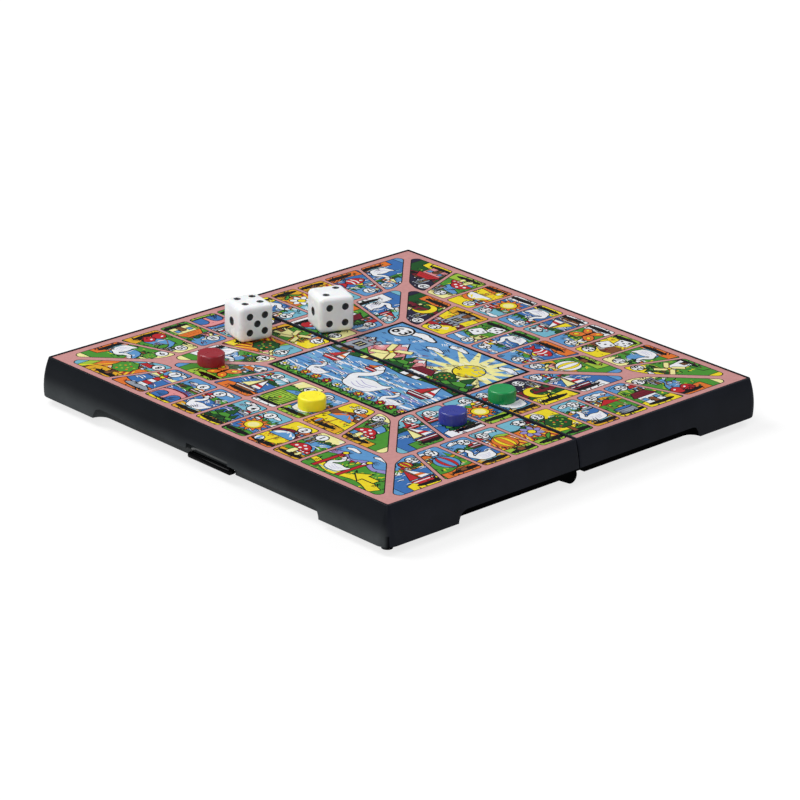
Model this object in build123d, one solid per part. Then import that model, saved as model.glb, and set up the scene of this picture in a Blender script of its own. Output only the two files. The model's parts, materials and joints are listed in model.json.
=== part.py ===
from build123d import *
import math
import os

# A folding travel case for the goose game, opened flat as a play board.
# Two black moulded half shells are hinged along their shared seam. Each carries
# a steel sheet and a printed sheet on its face. Magnetic counters and two dice
# stand on the print.
# Millimetres. X runs along the seam, Y from the latch wall (-) to the catch
# wall (+), Z up. The origin is on the table under the middle of the seam.

# Driving dimensions of the case
BOARD_SIDE = 160.0          # outer side of the open board at its top rim
SHELL_HEIGHT = 13.0         # from the rim plane to the top of a half shell
WALL_FLARE = 2.2            # how far an outer wall stands out at the rim plane
WALL = 1.8                  # outer wall thickness
SEAM_WALL = 1.6             # wall along the seam
SEAM_GAP = 0.3              # between the two halves at the rim plane
SEAM_DRAFT = 0.1            # lean of each seam wall over its height
FACE_THICKNESS = 1.6        # plastic under the steel sheet
FOOT_CORNER_RADIUS = 4.4    # upright outer corners at the rim plane
HEAD_CORNER_RADIUS = 0.8    # and at the top
HOLLOW_CORNER_RADIUS = 2.0
SEAM_CORNER_RADIUS = 0.6
TOP_EDGE_RADIUS = 0.4
WALL_SECTIONS = 4           # sections that a leaning wall is lofted through
REST_HEIGHT = 2.8           # rim plane above the table
RIM_PLAY = 0.05             # rim plane above the fold axis

# The recess in the face, and what lies in it
FACE_RIM = 0.65             # raised rim along the outer sides
SEAM_RIM = 0.35             # raised rim along the seam
FACE_CORNER = 0.6
SHEET_PLAY = 0.1
STEEL = 0.4
PRINT = 0.3
PRINT_DEPTH = 0.3           # top of the print below the raised rim

# The finger scoop round the lower edge
SCOOP_RADIUS = 3.9
SCOOP_OFFSET = 0.1          # scoop axis outside the wall's foot
SCOOP_SKIN = 1.7            # wall left behind the scoop
PEG_FOOT = 30.0             # full-height foot at a peg corner
SOCKET_FOOT = 27.5          # full-height foot at a socket corner

# Corner pegs, and the sockets that they enter when the case is shut
PEG_RADIUS = 1.8
SOCKET_RADIUS = 2.1
SOCKET_DEPTH = 3.2
BOSS_RADIUS = 3.4
BOSS_RIB = 1.2
BOSS_AT = 76.4              # peg and boss axis from each middle line

# Fold hinge
KNUCKLE_RADIUS = 2.4
KNUCKLE_LENGTH = 3.2
KNUCKLE_OUTER_FACE = 78.4   # outer face of the outer knuckle from the middle
KNUCKLE_GAP = 0.2
KNUCKLE_PLAY = 0.35
GUSSET_REACH = 5.4
GUSSET_HEIGHT = 4.0
PIN_RADIUS = 0.9
PIN_PLAY = 0.05

# Latch clasp in the latch wall, and the catch on the wall opposite
LATCH_X = 2.0               # middle of the latch, a little right of the board's middle
NOTCH_LENGTH = 23.0
NOTCH_HEIGHT = 5.5
CLASP_LENGTH = 22.4
BARREL_RADIUS = 1.3
BARREL_RISE = 3.6           # barrel axis above the rim plane
BARREL_INSET = 3.9          # barrel axis in from the wall's foot
TRUNNION_RADIUS = 0.8
TRUNNION_LENGTH = 1.5
LIP_THICKNESS = 1.0
LIP_FOOT = 0.5              # end of the lip above the rim plane
FINGER_BAR_RADIUS = 1.3
FINGER_BAR_INSET = 2.6     # finger bar axis in from the wall's foot
FINGER_BAR_RISE = 1.75      # and above the rim plane
HOOK_DEPTH = 0.5
HOOK_RISE = 1.2             # top of the hook above the rim plane
HOOK_LEAD = 0.3             # height of the hook's leading slope
CHEEK_WIDTH = 3.0
CHEEK_DEPTH = 3.0
STOP_LENGTH = 2.0           # stop beside each cheek, behind the hook
STOP_HEIGHT = 1.3
STOP_PLAY = 0.05
CATCH_LENGTH = 16.0
CATCH_THICKNESS = 1.3
CATCH_REACH = 2.0           # catch beyond the rim plane
CATCH_RIDGE = 0.5
RIDGE_HEIGHT = 0.6

# Dice and counters
DIE_EDGE = 12.4
DIE_ROUNDING = 1.3
PIP_RADIUS = 1.05
PIP_DEPTH = 0.45
PIP_SIDES = 12
PIP_SPREAD = 3.1
COUNTER_RADIUS = 4.5
COUNTER_HEIGHT = 4.0
COUNTER_BEVEL = 0.35
MAGNET_RADIUS = 3.0
MAGNET_HEIGHT = 2.0
MAGNET_PLAY = 0.05

# Places on the board: middle of each counter, and middle and turn of each die
COUNTERS = {
    "red": (-41.9, -43.5),
    "yellow": (7.0, -44.0),
    "blue": (44.3, -18.7),
    "green": (41.3, 5.8),
}
DICE = {
    "die_left": {"at": (-53.1, -17.7), "turn": 76.8, "top": 4, "front": 5, "side": 1},
    "die_right": {"at": (-41.9, 8.5), "turn": 68.6, "top": 2, "front": 4, "side": 1},
}

# Worked out from the values above
HALF = BOARD_SIDE / 2
FOOT = HALF + WALL_FLARE
RIM = REST_HEIGHT
TOP = RIM + SHELL_HEIGHT
AXIS_Z = RIM - RIM_PLAY
FACE_FLOOR = TOP - PRINT_DEPTH - PRINT - STEEL
CEILING = FACE_FLOOR - FACE_THICKNESS
PLAY_SURFACE = TOP - PRINT_DEPTH
SEAM_FACE = SEAM_GAP / 2
SCOOP_HALF_CHORD = math.sqrt(SCOOP_RADIUS**2 - SCOOP_OFFSET**2)
SCOOP_LINE = FOOT + SCOOP_OFFSET
BARREL_Y = -(FOOT - BARREL_INSET)
BARREL_Z = RIM + BARREL_RISE
LIP_BACK = BARREL_Y - BARREL_RADIUS + LIP_THICKNESS
OUTER_KNUCKLE = (KNUCKLE_OUTER_FACE - KNUCKLE_LENGTH, KNUCKLE_OUTER_FACE)
INNER_KNUCKLE = (
    OUTER_KNUCKLE[0] - KNUCKLE_GAP - KNUCKLE_LENGTH,
    OUTER_KNUCKLE[0] - KNUCKLE_GAP,
)


def block(x, y, z):
    """Box between two ends on each axis."""
    size = (x[1] - x[0], y[1] - y[0], z[1] - z[0])
    middle = ((x[0] + x[1]) / 2, (y[0] + y[1]) / 2, (z[0] + z[1]) / 2)
    return Pos(*middle) * Box(*size)


def rod_x(radius, x0, x1, y, z):
    """Round rod along X."""
    return Pos((x0 + x1) / 2, y, z) * Rot(0, 90, 0) * Cylinder(radius, x1 - x0)


def rod_y(radius, y0, y1, x, z):
    """Round rod along Y."""
    return Pos(x, (y0 + y1) / 2, z) * Rot(90, 0, 0) * Cylinder(radius, y1 - y0)


def turned_round(shape):
    """The same shape for the other half of the case: half a turn about Z."""
    return Rot(0, 0, 180) * shape


def half_plan(height, inset, seam_inset, least_radius):
    """Plan of a half at a height above the rim plane; the walls lean in more and more."""
    share = height / SHELL_HEIGHT
    side = FOOT - inset - WALL_FLARE * share**2
    seam_side = -(SEAM_FACE + seam_inset + SEAM_DRAFT * share)
    radius = FOOT_CORNER_RADIUS + (HEAD_CORNER_RADIUS - FOOT_CORNER_RADIUS) * share - inset
    plan = Pos(0, (seam_side - side) / 2) * Rectangle(2 * side, seam_side + side)
    outer_corners, seam_corners = plan.vertices().group_by(Axis.Y)
    plan = fillet(outer_corners, max(radius, least_radius))
    seam_corners = plan.vertices().group_by(Axis.Y)[-1]
    return Pos(0, 0, RIM + height) * fillet(seam_corners, SEAM_CORNER_RADIUS)


def leaning_block(inset, seam_inset, top, least_radius):
    """Block with the shell's leaning walls, used for both the shell and its hollow."""
    steps = [(top - RIM) * k / (WALL_SECTIONS - 1) for k in range(WALL_SECTIONS)]
    return loft([half_plan(height, inset, seam_inset, least_radius) for height in steps])


def scoop_cutter(radius):
    """Round-ended groove along the front wall and both end walls of a half.

    Its ends stay on the same line for every radius, so that a larger one gives the
    wall behind the scoop. On the end walls it runs on through the seam.
    """
    peg_end = FOOT - PEG_FOOT - SCOOP_HALF_CHORD
    socket_end = FOOT - SOCKET_FOOT - SCOOP_HALF_CHORD
    past_seam = 8.0
    groove = rod_x(radius, -socket_end, peg_end, -SCOOP_LINE, RIM)
    groove += Pos(-socket_end, -SCOOP_LINE, RIM) * Sphere(radius)
    groove += Pos(peg_end, -SCOOP_LINE, RIM) * Sphere(radius)
    for side, end in ((1, peg_end), (-1, socket_end)):
        groove += rod_y(radius, -end, past_seam, side * SCOOP_LINE, RIM)
        groove += Pos(side * SCOOP_LINE, -end, RIM) * Sphere(radius)
    return groove


def knuckle_block(radius, reach, x_span, wedge_side):
    """Round knuckle with a wedge that runs tangent from it to the axis plane.

    The wedge lies below that plane on a knuckle and above it in the other half's room.
    """
    tangent_angle = math.asin(radius / reach)
    touch_y = -radius * math.sin(tangent_angle)
    touch_z = AXIS_Z + wedge_side * radius * math.cos(tangent_angle)
    outline = Polyline((0, AXIS_Z), (-reach, AXIS_Z), (touch_y, touch_z), close=True)
    wedge = extrude(Plane.YZ.offset(x_span[0]) * make_face(outline), amount=x_span[1] - x_span[0])
    return wedge + rod_x(radius, x_span[0], x_span[1], 0, AXIS_Z)


def knuckle(x_span):
    """One hinge knuckle with the gusset that carries it on its half's seam wall."""
    outline = [
        (0.0, AXIS_Z),
        (-SEAM_FACE, AXIS_Z + KNUCKLE_RADIUS),
        (-SEAM_FACE, RIM + GUSSET_HEIGHT),
        (-SEAM_FACE - SEAM_WALL, RIM + GUSSET_HEIGHT),
        (-GUSSET_REACH, AXIS_Z),
    ]
    web = extrude(Plane.YZ.offset(x_span[0]) * make_face(Polyline(*outline, close=True)), amount=x_span[1] - x_span[0])
    return web + knuckle_block(KNUCKLE_RADIUS, GUSSET_REACH, x_span, -1)


def case_half():
    """The mould shared by both halves, in the place of the front half."""
    outer = leaning_block(0, 0, TOP, HEAD_CORNER_RADIUS)
    top_face = outer.faces().sort_by(Axis.Z)[-1]
    rim_edges = [edge for edge in top_face.edges() if edge.center().Y < -SEAM_CORNER_RADIUS]
    outer = fillet(rim_edges, TOP_EDGE_RADIUS)
    shell = outer - leaning_block(WALL, SEAM_WALL, CEILING, HOLLOW_CORNER_RADIUS)
    shell += outer & scoop_cutter(SCOOP_RADIUS + SCOOP_SKIN)

    # Corner bosses, each tied to both walls by a rib
    for side in (1, -1):
        boss = Pos(side * BOSS_AT, -BOSS_AT, (RIM + CEILING) / 2) * Cylinder(BOSS_RADIUS, CEILING - RIM)
        ends = sorted((side * BOSS_AT, side * (FOOT - WALL / 2)))
        middle = side * BOSS_AT
        half_rib = BOSS_RIB / 2
        rib_x = block(ends, (-BOSS_AT - half_rib, -BOSS_AT + half_rib), (RIM + BOSS_RIB, CEILING))
        rib_y = block(
            (middle - half_rib, middle + half_rib), (-FOOT + WALL / 2, -BOSS_AT), (RIM + BOSS_RIB, CEILING)
        )
        shell += boss + ((rib_x + rib_y) & outer)
    shell -= scoop_cutter(SCOOP_RADIUS)
    shell += Pos(BOSS_AT, -BOSS_AT, RIM / 2) * Cylinder(PEG_RADIUS, RIM)
    shell -= Pos(-BOSS_AT, -BOSS_AT, RIM + SOCKET_DEPTH / 2) * Cylinder(SOCKET_RADIUS, SOCKET_DEPTH)

    # Recess for the steel and the print
    shell -= face_recess(0, FACE_FLOOR, TOP)

    # Hinge: an outer knuckle at one end and an inner one at the other, each
    # beside the relief that the other half's knuckle turns in
    outer_span = OUTER_KNUCKLE
    inner_span = (-INNER_KNUCKLE[1], -INNER_KNUCKLE[0])
    reliefs = [INNER_KNUCKLE, (-OUTER_KNUCKLE[1], -OUTER_KNUCKLE[0])]
    for span in reliefs:
        wide = (span[0] - KNUCKLE_GAP, span[1] + KNUCKLE_GAP)
        shell -= knuckle_block(KNUCKLE_RADIUS + KNUCKLE_PLAY, GUSSET_REACH + KNUCKLE_PLAY, wide, 1)
    shell += knuckle(outer_span)
    shell += knuckle(inner_span)
    tight = rod_x(PIN_RADIUS, outer_span[0] - 1, outer_span[1] - 1, 0, AXIS_Z)
    running = rod_x(PIN_RADIUS + PIN_PLAY, inner_span[0] - 1, inner_span[1] + 1, 0, AXIS_Z)
    return shell - tight - running


def face_recess(play, low, high):
    """Plan of the face recess as a block; the sheets use it with their play."""
    side = HALF - FACE_RIM - play
    seam_side = -(SEAM_FACE + SEAM_DRAFT + SEAM_RIM + play)
    plan = Pos(0, (seam_side - side) / 2) * Rectangle(2 * side, seam_side + side)
    corners = plan.vertices().group_by(Axis.Y)[0]
    plan = fillet(corners, FACE_CORNER)
    return extrude(Pos(0, 0, low) * plan, amount=high - low)


def front_case():
    """Half with the latch notch and the cheeks that hold the clasp's trunnions."""
    shell = case_half()
    notch = block(
        (LATCH_X - NOTCH_LENGTH / 2, LATCH_X + NOTCH_LENGTH / 2),
        (-FOOT - 1, BARREL_Y + CHEEK_DEPTH),
        (RIM - 1, RIM + NOTCH_HEIGHT),
    )
    inside_wall = block(
        (-FOOT, FOOT),
        (-FOOT, BARREL_Y + CHEEK_DEPTH),
        (RIM, RIM + NOTCH_HEIGHT + CHEEK_WIDTH / 2),
    )
    for side in (1, -1):
        near = LATCH_X + side * NOTCH_LENGTH / 2
        far = near + side * CHEEK_WIDTH
        cheek = block(
            (min(near, far), max(near, far)),
            (BARREL_Y - BARREL_RADIUS, BARREL_Y + CHEEK_DEPTH),
            (RIM, RIM + NOTCH_HEIGHT + CHEEK_WIDTH / 2),
        )
        shell += (cheek & inside_wall) - scoop_cutter(SCOOP_RADIUS)
    shell -= notch
    hook_face = LIP_BACK + HOOK_DEPTH
    for side in (1, -1):
        near = LATCH_X + side * NOTCH_LENGTH / 2
        ends = sorted((near + side * CHEEK_WIDTH / 2, near - side * STOP_LENGTH))
        shell += block(ends, (hook_face + STOP_PLAY, BARREL_Y + CHEEK_DEPTH), (RIM, RIM + STOP_HEIGHT))
    reach = NOTCH_LENGTH / 2 + TRUNNION_LENGTH
    return shell - rod_x(TRUNNION_RADIUS + PIN_PLAY, LATCH_X - reach, LATCH_X + reach, BARREL_Y, BARREL_Z)


def back_case():
    """Half with the catch that the clasp's hook closes over."""
    shell = turned_round(case_half())
    inner_face = SCOOP_LINE - SCOOP_RADIUS - SCOOP_SKIN
    ends = (LATCH_X - CATCH_LENGTH / 2, LATCH_X + CATCH_LENGTH / 2)
    tongue = block(ends, (inner_face, inner_face + CATCH_THICKNESS), (RIM - CATCH_REACH, RIM + 2))
    ridge_low = RIM - CATCH_REACH
    outer = inner_face + CATCH_THICKNESS
    ridge_points = [
        (outer - 0.2, ridge_low),
        (outer + CATCH_RIDGE / 2, ridge_low),
        (outer + CATCH_RIDGE, ridge_low + RIDGE_HEIGHT / 2),
        (outer + CATCH_RIDGE, ridge_low + RIDGE_HEIGHT),
        (outer - 0.2, ridge_low + RIDGE_HEIGHT),
    ]
    ridge = extrude(Plane.YZ.offset(ends[0]) * make_face(Polyline(*ridge_points, close=True)), amount=CATCH_LENGTH)
    return shell + tongue + ridge


def latch_clasp():
    """Lip with a round finger bar and a hook, hung on a barrel with two trunnions."""
    half = CLASP_LENGTH / 2
    barrel = rod_x(BARREL_RADIUS, -half, half, BARREL_Y, BARREL_Z)
    lip = block((-half, half), (LIP_BACK - LIP_THICKNESS, LIP_BACK), (RIM + LIP_FOOT, BARREL_Z))
    bar = rod_x(FINGER_BAR_RADIUS, -half, half, -(FOOT - FINGER_BAR_INSET), RIM + FINGER_BAR_RISE)
    bar &= block((-half, half), (-FOOT, LIP_BACK), (RIM, BARREL_Z))
    hook_low = RIM + LIP_FOOT
    hook_points = [
        (LIP_BACK - 0.2, hook_low),
        (LIP_BACK, hook_low),
        (LIP_BACK + HOOK_DEPTH, hook_low + HOOK_LEAD),
        (LIP_BACK + HOOK_DEPTH, RIM + HOOK_RISE),
        (LIP_BACK - 0.2, RIM + HOOK_RISE),
    ]
    hook = extrude(Plane.YZ.offset(-half) * make_face(Polyline(*hook_points, close=True)), amount=CLASP_LENGTH)
    reach = NOTCH_LENGTH / 2 + TRUNNION_LENGTH - 0.2
    trunnions = rod_x(TRUNNION_RADIUS, -reach, reach, BARREL_Y, BARREL_Z)
    return Pos(LATCH_X, 0, 0) * (barrel + lip + bar + hook + trunnions)


def hinge_pin(side):
    """Short steel pin: tight in the outer knuckle, turning in the inner one."""
    far = OUTER_KNUCKLE[1] - 1
    near = INNER_KNUCKLE[0] + 0.2
    ends = sorted((side * near, side * far))
    return rod_x(PIN_RADIUS, ends[0], ends[1], 0, AXIS_Z)


def counter_cap():
    """Round cap with a pocket in its underside for the disc magnet."""
    cap = Pos(0, 0, COUNTER_HEIGHT / 2) * Cylinder(COUNTER_RADIUS, COUNTER_HEIGHT)
    cap = chamfer(cap.edges().group_by(Axis.Z)[-1], COUNTER_BEVEL)
    pocket = Pos(0, 0, MAGNET_HEIGHT / 2) * Cylinder(MAGNET_RADIUS + MAGNET_PLAY, MAGNET_HEIGHT)
    return cap - pocket


def magnet():
    return Pos(0, 0, MAGNET_HEIGHT / 2) * Cylinder(MAGNET_RADIUS, MAGNET_HEIGHT)


def pip_places(count):
    """Where the pips of a face lie, in units of the pip spread."""
    middle = [(0, 0)] if count % 2 else []
    diagonal = [(-1, -1), (1, 1)] if count > 1 else []
    corners = [(-1, 1), (1, -1)] if count > 3 else []
    sides = [(0, 1), (0, -1)] if count == 6 else []
    return middle + diagonal + corners + sides


def pip_dimple():
    """Shallow pointed dimple, with enough flat sides to look round at its size."""
    rim = RegularPolygon(PIP_RADIUS, PIP_SIDES)
    return loft([Vertex(0, 0, -PIP_DEPTH), rim.face()], ruled=True)


def die(top, front, side):
    """Die on its bottom face, with its front face to -Y and its side face to -X."""
    half = DIE_EDGE / 2
    body = Box(DIE_EDGE, DIE_EDGE, DIE_EDGE)
    body = fillet(body.edges(), DIE_ROUNDING)
    dimple = pip_dimple()
    faces = [
        (Plane((0, 0, half), x_dir=(1, 0, 0), z_dir=(0, 0, 1)), top),
        (Plane((0, 0, -half), x_dir=(1, 0, 0), z_dir=(0, 0, -1)), 7 - top),
        (Plane((0, -half, 0), x_dir=(1, 0, 0), z_dir=(0, -1, 0)), front),
        (Plane((0, half, 0), x_dir=(-1, 0, 0), z_dir=(0, 1, 0)), 7 - front),
        (Plane((-half, 0, 0), x_dir=(0, -1, 0), z_dir=(-1, 0, 0)), side),
        (Plane((half, 0, 0), x_dir=(0, 1, 0), z_dir=(1, 0, 0)), 7 - side),
    ]
    for plane, count in faces:
        for u, v in pip_places(count):
            body -= plane * Pos(u * PIP_SPREAD, v * PIP_SPREAD, 0) * dimple
    return Pos(0, 0, half) * body


def build():
    """Every piece by its node's name."""
    steel = face_recess(SHEET_PLAY, FACE_FLOOR, FACE_FLOOR + STEEL)
    print_sheet = face_recess(SHEET_PLAY, FACE_FLOOR + STEEL, PLAY_SURFACE)
    pieces = {
        "front_case_half": front_case(),
        "back_case_half": back_case(),
        "front_steel_sheet": steel,
        "back_steel_sheet": turned_round(steel),
        "front_printed_sheet": print_sheet,
        "back_printed_sheet": turned_round(print_sheet),
        "hinge_pin_right": hinge_pin(1),
        "hinge_pin_left": hinge_pin(-1),
        "latch_clasp": latch_clasp(),
    }
    for colour, (x, y) in COUNTERS.items():
        place = Pos(x, y, PLAY_SURFACE)
        pieces["counter_" + colour] = place * counter_cap()
        pieces["magnet_" + colour] = place * magnet()
    for name, spec in DICE.items():
        x, y = spec["at"]
        place = Pos(x, y, PLAY_SURFACE) * Rot(0, 0, spec["turn"])
        pieces[name] = place * die(spec["top"], spec["front"], spec["side"])
    return pieces


os.makedirs("parts", exist_ok=True)
for name, shape in build().items():
    export_step(shape, "parts/" + name + ".step")
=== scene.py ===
import cmath
import json
import math
import random

import bmesh
import bpy
import numpy as np
from mathutils import Matrix, Vector
from mathutils.geometry import delaunay_2d_cdt

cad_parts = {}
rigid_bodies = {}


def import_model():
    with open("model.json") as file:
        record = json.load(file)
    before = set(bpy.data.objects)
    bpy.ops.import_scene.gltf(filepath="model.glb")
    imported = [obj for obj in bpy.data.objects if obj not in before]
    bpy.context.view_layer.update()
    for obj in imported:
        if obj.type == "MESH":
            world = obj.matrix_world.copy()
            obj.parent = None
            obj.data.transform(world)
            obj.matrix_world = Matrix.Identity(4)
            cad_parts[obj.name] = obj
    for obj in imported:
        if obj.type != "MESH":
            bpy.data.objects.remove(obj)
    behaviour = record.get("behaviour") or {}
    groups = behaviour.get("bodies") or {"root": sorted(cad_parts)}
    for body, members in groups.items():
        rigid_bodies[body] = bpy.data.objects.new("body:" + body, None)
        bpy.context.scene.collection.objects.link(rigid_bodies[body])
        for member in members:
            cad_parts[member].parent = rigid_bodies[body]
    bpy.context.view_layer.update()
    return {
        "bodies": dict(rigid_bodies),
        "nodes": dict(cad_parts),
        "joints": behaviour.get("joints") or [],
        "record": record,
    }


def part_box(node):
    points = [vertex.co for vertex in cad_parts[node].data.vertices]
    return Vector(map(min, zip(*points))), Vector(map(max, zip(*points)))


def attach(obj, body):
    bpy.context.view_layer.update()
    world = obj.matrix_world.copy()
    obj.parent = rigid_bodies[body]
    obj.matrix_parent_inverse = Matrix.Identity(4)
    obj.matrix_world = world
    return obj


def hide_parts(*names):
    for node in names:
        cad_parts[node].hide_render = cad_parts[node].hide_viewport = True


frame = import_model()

# A folding magnetic goose game, opened flat. The moulded shells, pins, magnets and
# steel sheets come from the frame and get their finishes here. The printed faces,
# the clasp with one end of its notch, the counters and the dice are modelled here,
# each in its own node's place.
# Scene sizes are in metres. The artwork is drawn in millimetres on complex numbers,
# x along the seam and y towards the catch wall.

MM = 0.001
SAME_PLACE = 1e-7       # points and edge ends closer than this, in metres, are one


# Shader helpers

CLOUD_BAND = (0.3, 0.7)     # most of a noise's values lie between these


class Signal:
    """One output socket of a finish. Arithmetic on it adds Math nodes."""

    def __init__(self, finish, socket):
        self.finish = finish
        self.socket = socket

    def _math(self, operation, *values):
        return self.finish.node("ShaderNodeMath", {"operation": operation}, dict(enumerate(values)))

    def __add__(self, other):
        return self._math("ADD", self, other)

    __radd__ = __add__

    def __sub__(self, other):
        return self._math("SUBTRACT", self, other)

    def __rsub__(self, other):
        return self._math("SUBTRACT", other, self)

    def __mul__(self, other):
        return self._math("MULTIPLY", self, other)

    __rmul__ = __mul__


class Finish:
    """A material with one surface shader, whose sockets are set by name."""

    def __init__(self, name, **sockets):
        self.material = bpy.data.materials.new(name)
        self.material.use_nodes = True
        self.tree = self.material.node_tree
        self.tree.nodes.clear()
        self.shader = self.tree.nodes.new("ShaderNodeBsdfPrincipled")
        out = self.tree.nodes.new("ShaderNodeOutputMaterial")
        self.tree.links.new(self.shader.outputs[0], out.inputs[0])
        for socket, value in sockets.items():
            self.feed(socket.replace("_", " "), value)

    def node(self, kind, settings=None, inputs=None, output=0):
        """Any node: its settings first, then the values or links of its sockets."""
        made = self.tree.nodes.new(kind)
        for key, value in (settings or {}).items():
            if key == "stops":
                ramp = made.color_ramp.elements
                while len(ramp) < len(value):
                    ramp.new(0.5)
                for stop, (place, colour) in zip(ramp, value):
                    stop.position = place
                    stop.color = (*colour, 1.0)
            else:
                setattr(made, key, value)
        for key, value in (inputs or {}).items():
            self._put(made.inputs[key], value)
        return Signal(self, made.outputs[output])

    def _put(self, socket, value):
        if isinstance(value, Signal):
            self.tree.links.new(value.socket, socket)
        else:
            socket.default_value = value

    def feed(self, socket, value):
        """A value or a link for a socket of the shader."""
        if isinstance(value, tuple) and len(value) == 3:
            value = (*value, 1.0)
        self._put(self.shader.inputs[socket], value)

    def place(self):
        """Where a point of the surface lies, in the shared frame."""
        return self.node("ShaderNodeTexCoord", output="Object")

    def axis(self, name):
        """One coordinate of the place on the piece."""
        return self.node("ShaderNodeSeparateXYZ", inputs={0: self.place()}, output=name)

    def unsigned(self, value):
        """The value without its sign."""
        return self.node("ShaderNodeMath", {"operation": "ABSOLUTE"}, {0: value})

    def noise(self, scale, detail=3.0, roughness=0.5, stretch=None):
        """Even noise in 0 to 1 at a scale per metre."""
        where = self.place()
        if stretch:
            where = self.node("ShaderNodeMapping", inputs={0: where, "Scale": stretch})
        inputs = {0: where, "Scale": scale, "Detail": detail, "Roughness": roughness}
        return self.node("ShaderNodeTexNoise", inputs=inputs)

    def tinted(self, cloud, first, second):
        """Colour that goes from the first to the second as a noise rises."""
        stops = list(zip(CLOUD_BAND, (first, second)))
        return self.node("ShaderNodeValToRGB", {"stops": stops}, {0: cloud})

    def varied(self, cloud, first, second):
        """Number that goes from the first to the second as a noise rises."""
        return self.step(cloud, *CLOUD_BAND, first, second)

    def step(self, value, low, high, out_low=0.0, out_high=1.0):
        """Smooth change from one number to another as the value crosses a band."""
        inputs = {0: value, 1: low, 2: high, 3: out_low, 4: out_high}
        return self.node("ShaderNodeMapRange", {"interpolation_type": "SMOOTHSTEP"}, inputs)

    def blend(self, factor, first, second, mode="MIX"):
        """Colour mixed from two by a factor."""
        settings = {"data_type": "RGBA", "blend_type": mode}
        first = (*first, 1.0) if isinstance(first, tuple) else first
        second = (*second, 1.0) if isinstance(second, tuple) else second
        return self.node("ShaderNodeMix", settings, {0: factor, 6: first, 7: second}, output=2)

    def bump(self, height, strength, distance):
        """Relief from a height, as deep as the distance in metres."""
        inputs = {"Height": height, "Strength": strength, "Distance": distance}
        self.feed("Normal", self.node("ShaderNodeBump", inputs=inputs))


def srgb(*levels):
    """Linear colour of 0 to 255 screen levels."""
    scaled = [level / 255 for level in levels]
    return tuple(v / 12.92 if v <= 0.04045 else ((v + 0.055) / 1.055) ** 2.4 for v in scaled)


# Finishes

SHELL_LOW, SHELL_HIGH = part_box("front_case_half")
BOARD_TOP = SHELL_HIGH.z
SHELL_HEIGHT = 13 * MM
RIM_PLANE = BOARD_TOP - SHELL_HEIGHT
WALL_CROWN = 9.0             # how strongly the outer walls bow outwards, per metre
CORNER_BAND = 1.5 * MM       # half the width over which one wall's tone becomes the next one's
GRAIN_DEPTH = 0.02 * MM
# Between these two places each of three tones fades out: the painted light on the long walls' pale foot
# upwards, and the painted shade in the end walls' finger scoops upwards and outwards
PAINTED_FOOT_LIGHT = (RIM_PLANE + 0.5 * MM, RIM_PLANE + 8 * MM)
SCOOP_SHADE_TOP = (RIM_PLANE + 3.3 * MM, RIM_PLANE + 3.8 * MM)
SCOOP_SHADE_EDGE = (SHELL_HIGH.x - 0.8 * MM, SHELL_HIGH.x - 0.6 * MM)


def moulded_black():
    """Satin black plastic with a fine grain and slightly crowned walls, a paler foot on the long walls that
    is painted light, a painted bluish tone on the end walls and painted shade in their finger scoops.
    """
    made = Finish("moulded_black", Specular_IOR_Level=0.0, Coat_Roughness=0.32, Coat_IOR=1.4)
    cloud = made.noise(60, 4.0, 0.6)
    height = made.axis("Z")
    along = made.unsigned(made.axis("X"))
    across = made.unsigned(made.axis("Y"))
    long_wall = made.step(across - along, -CORNER_BAND, CORNER_BAND)
    # Painted light: the long walls turn paler towards their foot, as if the floor lit them.
    foot = made.step(height, *PAINTED_FOOT_LIGHT, 1.0, 0.0) * long_wall
    # Painted light: the end walls get a bluish tone of their own for how the light falls on them.
    end_wall_painted_tone = made.tinted(cloud, srgb(27, 30, 37), srgb(35, 38, 47))
    upper = made.tinted(cloud, srgb(19, 22, 26), srgb(26, 29, 34))
    lit_foot_tone = made.tinted(cloud, srgb(66, 70, 72), srgb(82, 86, 88))
    skin = made.blend(foot, made.blend(long_wall, end_wall_painted_tone, upper), lit_foot_tone)
    # Painted shade: the end walls' finger scoops turn almost black.
    low = made.step(height, *SCOOP_SHADE_TOP, 1.0, 0.0)
    scoop_shade = made.step(along, *SCOOP_SHADE_EDGE, 1.0, 0.0) * low * (1 - long_wall)
    made.feed("Base Color", made.blend(scoop_shade, skin, srgb(5, 6, 8)))
    fine = made.noise(900, 3.0, 0.7)
    made.feed("Roughness", made.varied(cloud * 0.5 + fine * 0.5, 0.45, 0.6))
    made.feed("Coat Weight", 0.22 - scoop_shade * 0.2)
    rise = height - 0.5 * (RIM_PLANE + BOARD_TOP)
    grain = made.noise(2600, 2.0, 0.6)
    made.bump(grain * GRAIN_DEPTH - rise * rise * WALL_CROWN, 1.0, 1.0)
    return made.material


def clasp_black():
    """Smoother and blacker plastic of the clasp, with a painted highlight in paler grey along its barrel."""
    made = Finish("clasp_black", Specular_IOR_Level=0.0, Coat_Roughness=0.2)
    cloud = made.noise(150, 3.0)
    height = made.axis("Z")
    # Painted highlight: the barrel is paler grey than the rest of the clasp.
    barrel = made.step(height, BARREL_Z - 1.3 * MM, BARREL_Z - 0.9 * MM)
    black = made.tinted(cloud, srgb(6, 6, 8), srgb(12, 12, 14))
    made.feed("Base Color", made.blend(barrel, black, srgb(58, 62, 64)))
    made.feed("Coat Weight", made.step(height, BARREL_Z - 0.9 * MM, BARREL_Z - 0.2 * MM, 0.12, 1.0))
    made.feed("Roughness", made.varied(cloud, 0.26, 0.36))
    made.bump(made.noise(1800, 2.0), 0.15, 0.03 * MM)
    return made.material


def metal(name, colour, low, high, scale=400, stretch=None):
    """Plain metal whose polish varies."""
    made = Finish(name, Metallic=1.0)
    cloud = made.noise(scale, 4.0, 0.6, stretch)
    darker = tuple(0.82 * level for level in colour)
    made.feed("Base Color", made.tinted(cloud, darker, colour))
    made.feed("Roughness", made.varied(cloud, low, high))
    made.bump(cloud, 0.1, 0.02 * MM)
    return made.material


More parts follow.
